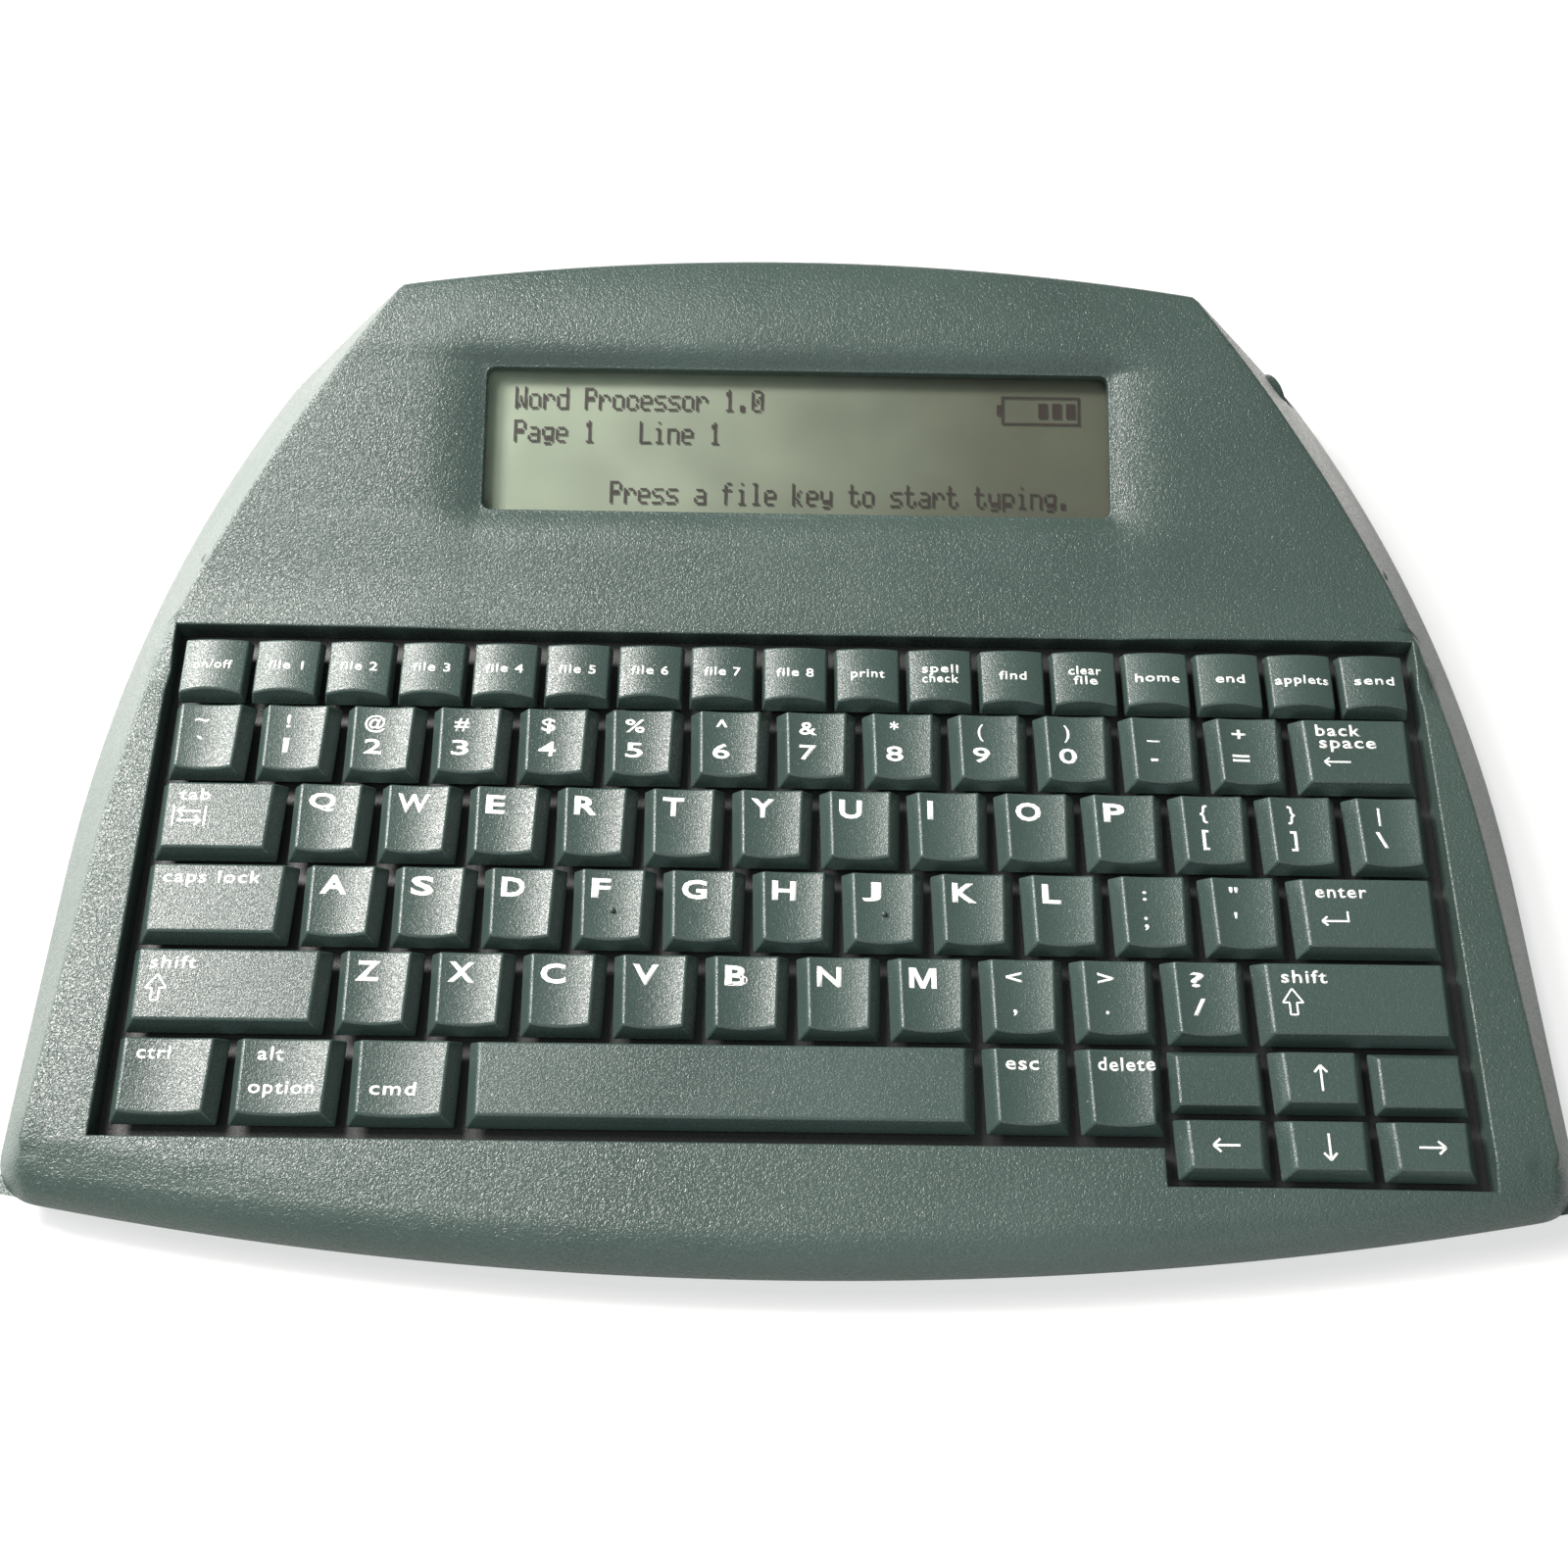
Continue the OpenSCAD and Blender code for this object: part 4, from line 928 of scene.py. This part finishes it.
def cap_side(cell, z):
    """Half width at the back and the front, and both ends in depth, at height z."""
    top, inset, front, rear, taper = cap_forms[cell[4]]
    width, depth = cell[2] * key_pitch - key_gap, cell[3] * key_pitch - key_gap
    lean = inset * z / top
    narrow = depth * math.tan(math.radians(taper))
    return (width / 2 - lean, width / 2 - narrow - lean, -depth / 2 + front * z / top,
            depth / 2 - rear * z / top)


def cap_place(cell, u, v, z, inset=0.0):
    """A place at shares u and v of the cap's width and depth at height z, moved in by inset."""
    wide_back, wide_front, y0, y1 = cap_side(cell, z)
    half = wide_front + (wide_back - wide_front) * (v + 1) / 2 - inset
    return u * half, y0 + inset + (y1 - y0 - 2 * inset) * (v + 1) / 2, z


def cap_point(cell, u, v):
    """The point of the cap's top face at shares u and v."""
    x = u * (cell[2] * key_pitch - key_gap) / 2
    for _ in range(6):
        x, y, z = cap_place(cell, u, v, float(cap_top(cell, x)))
    return x, y, z


def cap_faces(cell):
    """One cap, hollow below, as faces in the deck's plane."""
    gather = Faces()
    mx, my = cap_middle(cell)
    across = np.linspace(-1, 1, 11)
    along = np.array([-1, -0.6, 0, 0.6, 1])
    if cell[2] * key_pitch > wide_cap:
        across = np.array([-1, -0.85, -0.4, 0, 0.4, 0.85, 1])
    elif cell[4] in ("flat", "blank"):
        across = along

    def put(points):
        return gather.add(tilt(np.array(points) + (mx, my, 0), *deck_place))

    top = [put([cap_point(cell, u, v) for u in across]) for v in along]
    for a, b in zip(top, top[1:]):
        for i in range(len(across) - 1):
            gather.faces.append((a[i], a[i + 1], b[i + 1], b[i]))
    rim = ([(u, -1) for u in across] + [(1, v) for v in along[1:]]
           + [(u, 1) for u in across[::-1][1:]] + [(-1, v) for v in along[::-1][1:-1]])
    rim_ids = (top[0] + [row[-1] for row in top[1:]] + top[-1][::-1][1:]
               + [row[0] for row in top[::-1][1:-1]])
    roof = min(cap_ceiling, cap_forms[cell[4]][0] - cap_roof)
    turns = np.linspace(0, 2 * math.pi, len(rim) + 1)[:-1] + math.radians(225)
    stem = [put([(plunger_radius * math.cos(a), plunger_radius * math.sin(a), z) for a in turns])
            for z in (roof, plunger_foot)]
    sides = [put([cap_place(cell, u, v, z, inset) for u, v in rim])
             for z, inset in ((0.0, 0.0), (0.0, cap_wall), (roof, cap_wall))]
    gather.strips([rim_ids] + sides + stem)
    gather.faces.append(tuple(stem[1]))
    return gather


def cap_piece(node):
    """All caps of one node as one piece, their edges rounded."""
    work = bmesh.new()
    for cell in cap_cells[node]:
        part = cap_faces(cell).mesh("part")
        work.from_mesh(part)
        bpy.data.meshes.remove(part)
    piece = placed(node + "_cap", free_mesh(work, node + "_cap"))
    edge = piece.modifiers.new("edge", "BEVEL")
    edge.width = cap_edge
    edge.segments = 3
    edge.limit_method = "ANGLE"
    edge.angle_limit = math.radians(24)
    edge.use_clamp_overlap = True
    return finished(piece, 50)


# The last number is the share of painted glints on the grain's peaks.
key_plastic = moulded("key_plastic", (0.032, 0.053, 0.047), 0.40, 1700.0, 0.00003,
                      0.12, 0.3, 0.12)
for node in cap_cells:
    stand_in(cap_piece(node), key_plastic, node)


# Legends
# White ink letters in a bold wide face, pad-printed on each cap: they follow its dish. The F
# and J caps also have a small moulded bump that the fingers find by touch.
legend_ink = Finish("legend_ink", (0.78, 0.79, 0.76), 0.45)
ink_wear = legend_ink.noise(legend_ink.place, 900.0, 3.0)
legend_ink.set(Base_Color=legend_ink.blend(ink_wear, (0.70, 0.71, 0.68), (0.88, 0.88, 0.85)))
legend_ink.bump(ink_wear, 0.00001)
ink_rise = 0.03
ink_sink = 0.05
unit_height = 0.7
letter_spacing = 1.12
letter_height = 4.4
letter_spot = (1.7, 6.4)
sign_line = 4.2
sign_rows = ((5.2, 3.1), (11.3, 3.5))
slice_width = 0.8
word_height = 2.75
function_word_height = 2.1


def span(work, axis):
    """The least and the greatest place of the work's points along x or y."""
    places = [v.co[axis] for v in work.verts]
    return min(places), max(places)


def text_outline(text, height, width, weight, capital=False):
    """Flat triangulated letters, in millimetres, standing on y = 0 and width across."""
    curve = bpy.data.curves.new("letters", "FONT")
    curve.body = text
    curve.resolution_u = 3
    curve.offset = weight
    curve.space_character = letter_spacing
    made = placed("letters", curve)
    data = applied(made)
    work = bmesh.new()
    work.from_mesh(data)
    bpy.data.objects.remove(made)
    bpy.data.meshes.remove(data)
    low, high = span(work, 1)
    size = height / ((high - low) if capital else unit_height)
    if capital:
        bmesh.ops.translate(work, verts=work.verts, vec=(0, -low, 0))
    left, right = span(work, 0)
    for vert in work.verts:
        vert.co.x *= width / (right - left)
        vert.co.y *= size
    return work


def polygon_outline(shapes):
    """Flat outlines from lists of corners."""
    work = bmesh.new()
    for shape in shapes:
        work.faces.new([work.verts.new((x, y, 0)) for x, y in shape])
    work.normal_update()
    bmesh.ops.triangulate(work, faces=work.faces)
    return work


def line_shape(a, b, width):
    """A thick straight stroke."""
    a, b = np.array(a, float), np.array(b, float)
    way = (b - a) / np.linalg.norm(b - a)
    side = np.array([-way[1], way[0]]) * width / 2
    return [tuple(a + side), tuple(a - side), tuple(b - side), tuple(b + side)]


def arrow_shapes(tail, tip, width, head):
    """A stroke with an open two-stroke head."""
    tail, tip = np.array(tail, float), np.array(tip, float)
    way = (tip - tail) / np.linalg.norm(tip - tail)
    side = np.array([-way[1], way[0]])
    return [line_shape(tail, tip, width)] + [
        line_shape(tip + way * 0.15, tip - way * head + s * side * head, width) for s in (1, -1)]


def print_on(target, cell, work, x, y, align="left"):
    """Cuts a flat outline fine enough to bend, gives it thickness and lays it on a cap."""
    mx, my = cap_middle(cell)
    _, wide_front, _, back_edge = cap_side(cell, cap_forms[cell[4]][0] - 0.4)
    low, high = span(work, 0)
    if align == "left":
        shift, base = x - wide_front - low, back_edge - y
    else:
        shift, base = x - (low + high) / 2, y
    bmesh.ops.translate(work, verts=work.verts, vec=(shift, base, 0))
    if cell[4] in ("dished", "barrel"):
        for spot in np.arange(math.floor(low + shift), high + shift, slice_width):
            bmesh.ops.bisect_plane(work, geom=work.verts[:] + work.edges[:] + work.faces[:],
                                   plane_co=(spot, 0, 0), plane_no=(1, 0, 0))
    bmesh.ops.remove_doubles(work, verts=work.verts, dist=0.001)
    bmesh.ops.recalc_face_normals(work, faces=work.faces)
    if work.faces and work.faces[0].normal.z < 0:
        bmesh.ops.reverse_faces(work, faces=work.faces)
    upper = work.faces[:]
    made = bmesh.ops.extrude_face_region(work, geom=upper, use_keep_orig=True)
    bmesh.ops.reverse_faces(work, faces=upper)
    raised = {item for item in made["geom"] if isinstance(item, bmesh.types.BMVert)}
    for vert in work.verts:
        px, py = vert.co.x, vert.co.y
        pz = float(cap_top(cell, px)) + (ink_rise if vert in raised else -ink_sink)
        vert.co = Vector(to_frame(tilt([px + mx, py + my, pz], *deck_place)))
    part = free_mesh(work, "part")
    target.from_mesh(part)
    bpy.data.meshes.remove(part)


bold = 0.016
heavy = 0.032
narrow_signs = {"W": 0.026, "N": 0.026}
letter_m = [(0, 0), (1.05, 0), (1.05, 2.9), (2.35, 0), (3.35, 0), (4.65, 2.9), (4.65, 0),
            (5.7, 0), (5.7, 4.4), (4.25, 4.4), (2.85, 1.35), (1.45, 4.4), (0, 4.4)]
letter_widths = {"A": 5.6, "B": 4.7, "C": 5.2, "D": 5.0, "E": 4.2, "F": 4.1, "G": 5.3, "H": 5.1,
                 "I": 1.25, "J": 4.1, "K": 5.2, "L": 4.1, "N": 5.1, "O": 5.6, "P": 4.7,
                 "Q": 5.8, "R": 5.0, "S": 4.8, "T": 4.6, "U": 5.0, "V": 5.3, "W": 6.8, "X": 5.4,
                 "Y": 5.1, "Z": 5.0}
number_pairs = ["~`", "!1", "@2", "#3", "$4", "%5", "^6", "&7", "*8", "(9", ")0", "_-", "+="]
punctuation_pairs = ["{[", "}]", "|\\", ":;", "\"'", "<,", ">.", "?/"]
pair_widths = {"~": 3.0, "`": 1.4, "!": 0.9, "1": 1.25, "@": 4.6, "#": 3.3, "$": 3.1, "%": 4.4,
               "^": 2.6, "&": 3.9, "*": 2.0, "(": 1.3, ")": 1.3, "_": 2.9, "-": 1.7, "+": 3.2,
               "=": 3.8, "{": 1.7, "}": 1.7, "[": 1.5, "]": 1.5, "|": 0.6, "\\": 2.6,
               ":": 0.9, ";": 0.9, "\"": 2.0, "'": 0.7, "<": 3.4, ">": 3.4, ",": 0.9, ".": 0.8,
               "?": 3.1, "/": 2.8, "0": 4.0}
function_words = {"on/off": 8.6, "file 1": 7.9, "file 2": 8.4, "file 3": 8.4, "file 4": 8.4,
                  "file 5": 8.4, "file 6": 8.4, "file 7": 8.2, "file 8": 8.4, "print": 7.6,
                  "spell\ncheck": 8.2, "find": 6.2, "clear\nfile": 7.4, "home": 10.0,
                  "end": 6.5, "applets": 12.0, "send": 9.0}
corners = [(0, 0), (1.5, 0), (1.5, 2.6), (2.9, 2.6), (0.75, 5.6), (-1.4, 2.6), (0, 2.6)]
shift_arrow = [line_shape(a, b, 0.36) for a, b in zip(corners, corners[1:] + corners[:1])]
tab_arrows = (arrow_shapes((5.8, 3.5), (1.0, 3.5), 0.42, 1.1)
              + arrow_shapes((1.0, 1.3), (5.8, 1.3), 0.42, 1.1)
              + [line_shape((x, 0), (x, 4.8), 0.38) for x in (0, 6.8)])
key_words = {
    "modifier_keys": [(0, "tab", 6.7, 2.4, 4.3), (1, "caps lock", 20.7, 1.9, 4.3),
                      (2, "ctrl", 6.7, 2.4, 4.3), (3, "alt", 5.2, 3.0, 4.3),
                      (3, "option", 13.2, 2.0, 11.2), (4, "cmd", 9.3, 2.4, 11.2),
                      (5, "esc", 6.8, 1.9, 4.3), (6, "delete", 11.6, 1.6, 4.3)],
    "backspace_key": [(0, "back", 10.0, 2.4, 4.0), (0, "space", 12.6, 2.9, 7.0)],
    "enter_key": [(0, "enter", 11.0, 2.6, 4.3)],
    "left_shift": [(0, "shift", 9.6, 2.2, 4.3)],
    "right_shift": [(0, "shift", 9.6, 2.8, 4.3)]}
key_drawings = {
    "modifier_keys": (tab_arrows, 1.5, 10.4),
    "backspace_key": (arrow_shapes((5.6, 0), (0, 0), 0.4, 1.0), 3.4, 10.4),
    "enter_key": (arrow_shapes((5.4, 0), (0, 0), 0.42, 1.0)
                  + [line_shape((5.4, -0.2), (5.4, 2.2), 0.42)], 3.2, 9.6),
    "left_shift": (shift_arrow, 1.8, 11.2), "right_shift": (shift_arrow, 2.4, 11.2)}
digit_width = 3.8
high_signs, high_lift = "*`~^", 0.3
arrow_half, arrow_stroke, arrow_head, arrow_lift = 2.6, 0.45, 1.3, 0.3
sign_pairs = {"number_keys": number_pairs, "punctuation_keys": punctuation_pairs}


def letter_legend(work, cell, letter):
    if letter == "M":
        outline = polygon_outline([letter_m])
    else:
        outline = text_outline(letter, letter_height, letter_widths[letter],
                               narrow_signs.get(letter, heavy), True)
    print_on(work, cell, outline, *letter_spot)


def pair_legend(work, cell, pair):
    """Shifted sign above, plain one below, both about one centre line."""
    _, wide_front, _, back_edge = cap_side(cell, cap_forms[cell[4]][0])
    for sign, (foot, height) in zip(pair, sign_rows):
        if sign in high_signs:
            foot -= high_lift
        wide = pair_widths.get(sign, digit_width)
        print_on(work, cell, text_outline(sign, height, wide, bold),
                 sign_line - wide_front, back_edge - foot, "middle")


def function_legend(work, cell, words, width):
    """One word, or two in rows of which the shorter is narrower."""
    lines = words.split("\n")
    for k, line in enumerate(lines):
        share = 1 if k == 0 or line == "check" else 0.72
        foot = -0.6 if len(lines) == 1 else 0.9 - 2.5 * k
        print_on(work, cell, text_outline(line, function_word_height, width * share, bold),
                 0, foot, "middle")


def legend_piece(node):
    """All the print on one node's caps, as one piece."""
    work = bmesh.new()
    cells = cap_cells[node]
    if node.startswith("key_"):
        letter_legend(work, cells[0], node[-1].upper())
    for cell, pair in zip(cells, sign_pairs.get(node, [])):
        pair_legend(work, cell, pair)
    for k, word, width, x, y in key_words.get(node, []):
        print_on(work, cells[k], text_outline(word, word_height, width, bold), x, y)
    if node in key_drawings:
        shapes, x, y = key_drawings[node]
        print_on(work, cells[0], polygon_outline(shapes), x, y)
    if node == "function_keys":
        for cell, (words, width) in zip(cells, function_words.items()):
            function_legend(work, cell, words, width)
    if node == "arrow_keys":
        for cell, (x, y) in zip(cells, ((0, 1), (-1, 0), (0, -1), (1, 0))):
            tip = np.array([x, y]) * arrow_half
            arrow = arrow_shapes(-tip, tip, arrow_stroke, arrow_head)
            print_on(work, cell, polygon_outline(arrow), 0, arrow_lift, "middle")
    piece = placed(node + "_legend", free_mesh(work, node + "_legend"))
    piece.data.materials.append(legend_ink.mat)
    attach(piece, body_of[node])


for node in cap_cells:
    if node not in ("space_bar", "blank_caps"):
        legend_piece(node)

bump_radius = 0.0006
bump_rise = 0.3
bump_front = 1.0
for letter in "fj":
    mx, my = cap_middle(cap_cells["key_" + letter][0])
    spot = to_frame(tilt([mx, my - bump_front, cap_forms["dished"][0] - cap_dish + bump_rise],
                         *deck_place))
    work = bmesh.new()
    bmesh.ops.create_uvsphere(work, u_segments=20, v_segments=12, radius=bump_radius,
                              matrix=Matrix.Translation(spot))
    bump = placed("home_bump_" + letter, free_mesh(work, "home_bump_" + letter))
    for polygon in bump.data.polygons:
        polygon.use_smooth = True
    bump.data.materials.append(key_plastic)
    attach(bump, body_of["key_" + letter])


# Pieces that keep their modelled shape
# Rubber feet, plated steel, the circuit boards and the parts on them, each with its own finish.
# They are fixed between the two shells or under the bottom one, and their meshes stay as packed.
def simple(name, colour, rough, scale, depth, **plain):
    """A plain moulded or rolled finish: mottled colour, uneven gloss and a fine bump."""
    finish = Finish(name, colour, rough, **plain)
    mottle = finish.noise(finish.place, scale, 4.0)
    finish.set(Base_Color=finish.blend(mottle, tuple(c * 0.75 for c in colour),
                                       tuple(min(1, c * 1.25) for c in colour)),
               Roughness=finish.spread(mottle, 0.0, 1.0, rough - 0.08, rough + 0.08))
    finish.bump(mottle, depth)
    return finish.mat


finishes = {
    "black_plastic": simple("black_plastic", (0.016, 0.017, 0.017), 0.5, 1800.0, 0.00004),
    "circuit_board": simple("green_board", (0.02, 0.16, 0.07), 0.4, 300.0, 0.00002),
    "silicone": simple("pale_silicone", (0.6, 0.6, 0.55), 0.6, 500.0, 0.00003),
    "polyester": simple("clear_polyester", (0.62, 0.64, 0.6), 0.35, 200.0, 0.00001),
    "steel": simple("plated_steel", (0.6, 0.61, 0.62), 0.32, 900.0, 0.00001, Metallic=1.0),
    "battery_wrap": simple("battery_wrap", (0.03, 0.035, 0.045), 0.35, 400.0, 0.00001),
    "rubber": simple("foot_rubber", (0.02, 0.02, 0.02), 0.75, 2500.0, 0.00005),
    "screw_metal": simple("screw_metal", (0.45, 0.45, 0.44), 0.35, 1500.0, 0.00001,
                          Metallic=1.0),
}
for node, slot in slot_of.items():
    if slot in finishes:
        coat(frame["nodes"][node], finishes[slot])


# Display
# A reflective grey-green liquid crystal panel of 264 by 64 dots behind a clear, lightly dusty
# acrylic window that is lapped behind the cover. The dark dots' soft shadow on its reflector is
# painted.
clear_colour = (0.03, 0.035, 0.03)
window_clear = Finish("window_clear", clear_colour, 0.06, IOR=1.49)
haze = window_clear.spread(window_clear.noise(window_clear.place, 60.0, 3.0), 0.3, 0.8, 0.08, 0.15)
specks = window_clear.group(wear_tree, wear_scale)["Dust"]
window_clear.set(Alpha=window_clear.maths("MAXIMUM", haze,
                                          window_clear.maths("MULTIPLY", specks, 0.7)),
                 Base_Color=window_clear.blend(specks, clear_colour, (0.6, 0.6, 0.55)))
coat(frame["nodes"]["display_window"], window_clear.mat)

panel = Finish("panel_glass", (0.22, 0.26, 0.19), 0.38)
cloud = panel.noise(panel.place, 18.0)
across = panel.node("ShaderNodeSeparateXYZ", Vector=panel.place)["X"]
tint = panel.blend(cloud, (0.28, 0.34, 0.25), (0.34, 0.40, 0.30))
# Painted light and shade: along X the colour runs from the bright tint at the left to near black
# at the right, standing in for the window's glare falling off across the panel.
panel.set(Base_Color=panel.blend(panel.spread(across, -0.072, 0.045, 0.0, 0.9), tint,
                                 (0.055, 0.058, 0.035)),
          Roughness=panel.maths("MULTIPLY_ADD", cloud, 0.2, 0.5))
coat(frame["nodes"]["lcd_panel"], panel.mat)

glyphs = {
    "W": "x...x/x...x/x...x/x.x.x/x.x.x/xx.xx/x...x",
    "P": "xxxx./x...x/x...x/xxxx./x..../x..../x....",
    "L": "x..../x..../x..../x..../x..../x..../xxxxx",
    "a": "/../.xxx./....x/.xxxx/x...x/.xxxx",
    "c": "/../.xxx./x...x/x..../x...x/.xxx.",
    "d": "....x/....x/.xxxx/x...x/x...x/x...x/.xxxx",
    "e": "/../.xxx./x...x/xxxxx/x..../.xxx.",
    "f": "..xx./.x.../xxxx./.x.../.x.../.x.../.x...",
    "g": "/../.xxxx/x...x/x...x/.xxxx/....x/.xxx.",
    "i": "..x../...../.xx../..x../..x../..x../.xxx.",
    "k": "x..../x..../x..x./x.x../xx.../x.x../x..x.",
    "l": ".xx../..x../..x../..x../..x../..x../.xxx.",
    "n": "/../xxxx./x...x/x...x/x...x/x...x",
    "o": "/../.xxx./x...x/x...x/x...x/.xxx.",
    "p": "/../xxxx./x...x/x...x/xxxx./x..../x....",
    "r": "/../x.xx./xx..x/x..../x..../x....",
    "s": "/../.xxxx/x..../.xxx./....x/xxxx.",
    "t": ".x.../.x.../xxxx./.x.../.x.../.x..x/..xx.",
    "y": "/../x...x/x...x/x...x/.xxxx/....x/.xxx.",
    "0": ".xxx./x...x/x..xx/x.x.x/xx..x/x...x/.xxx.",
    "1": "..x../.xx../..x../..x../..x../..x../.xxx.",
    ".": "/././././.xx../.xx..",
    " ": "",
}
dot_pitch = 0.55
dot_columns, dot_rows = 264, 64
dot_size = 0.49
dot_thick = 0.02
tall_rows = [0, 1, 1, 2, 3, 3, 4, 5, 5, 6, 7]
glyph_pitch = 6
screen_lines = [(10, 6, "Word Processor 1.0"), (10, 21, "Page 1   Line 1"),
                (52, 48, "Press a file key to start typing.")]
battery_bars = [(220, 7, 34, 1), (220, 19, 34, 1), (220, 7, 1, 13), (253, 7, 1, 13),
                (218, 11, 2, 5), (236, 10, 4, 7), (242, 10, 4, 7), (248, 10, 4, 7)]


def dot_places():
    """Column and row of every dark dot: the text, and a plain battery bar at the right."""
    found = set()
    for left, top, text in screen_lines:
        for k, letter in enumerate(text):
            rows = glyphs[letter].split("/")
            for line, source in enumerate(tall_rows):
                pattern = rows[source] if source < len(rows) else ""
                found |= {(left + glyph_pitch * k + i, top + line)
                          for i, mark in enumerate(pattern) if mark == "x"}
    for left, top, wide, tall in battery_bars:
        found |= {(left + i, top + j) for i in range(wide) for j in range(tall)}
    return sorted(found)


def dot_tree(material):
    """Geometry nodes that put a flat square block on every point."""
    group, given = open_group("display_dots", "GeometryNodeTree",
                              {"Geometry": "Geometry", "Size": "Float", "Thickness": "Float"},
                              {"Geometry": "Geometry"})
    size = group.node("ShaderNodeCombineXYZ", X=given["Size"], Y=given["Size"],
                      Z=given["Thickness"])
    block = group.node("GeometryNodeMeshCube", Size=size[0])
    blocks = group.node("GeometryNodeInstanceOnPoints", Points=given["Geometry"],
                        Instance=block["Mesh"], Rotation=(hood_slope, 0, 0))
    solid = group.node("GeometryNodeRealizeInstances", i0=blocks[0])
    paint = group.node("GeometryNodeSetMaterial", i0=solid[0], Material=material)
    group.node("NodeGroupOutput", i0=paint[0])
    return group.tree


def dot_piece(name, material, shift, height, size):
    """Square dots at the given height in the hood's plane, shifted in dots."""
    spots = [((c + 0.5 - dot_columns / 2 + shift) * dot_pitch,
              (dot_rows / 2 - r - 0.5 - shift) * dot_pitch, height) for c, r in dot_places()]
    data = bpy.data.meshes.new(name)
    data.from_pydata([tuple(p) for p in to_frame(tilt(spots, *hood_place))], [], [])
    piece = placed(name, data)
    dots = piece.modifiers.new("dots", "NODES")
    dots.node_group = dot_tree(material)
    values = {"Size": size * 0.001, "Thickness": dot_thick * 0.001}
    for socket in dots.node_group.interface.items_tree:
        if socket.name in values:
            dots[socket.identifier] = values[socket.name]
    settle(piece)
    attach(piece, "root")


window_thick = 2.0
panel_rise = 0.2
ink_height, shadow_height = 0.09, 0.03
shadow_shift = 0.7
panel_face = -window_deep - window_thick + panel_rise
dot_ink = simple("dot_ink", (0.035, 0.022, 0.02), 0.5, 900.0, 0.00001)
dot_shade = Finish("dot_shade", (0.05, 0.06, 0.045), 0.6)
dot_shade.set(Alpha=dot_shade.maths("MULTIPLY", dot_shade.noise(dot_shade.place, 400.0), 0.62))
dot_piece("display_dots", dot_ink, 0, panel_face + ink_height, dot_size)
# Painted shadow: a shifted copy of the dots in a dark see-through material lies on the panel under
# the dark dots.
dot_piece("display_dot_shadows", dot_shade.mat, shadow_shift, panel_face + shadow_height,
          dot_pitch)
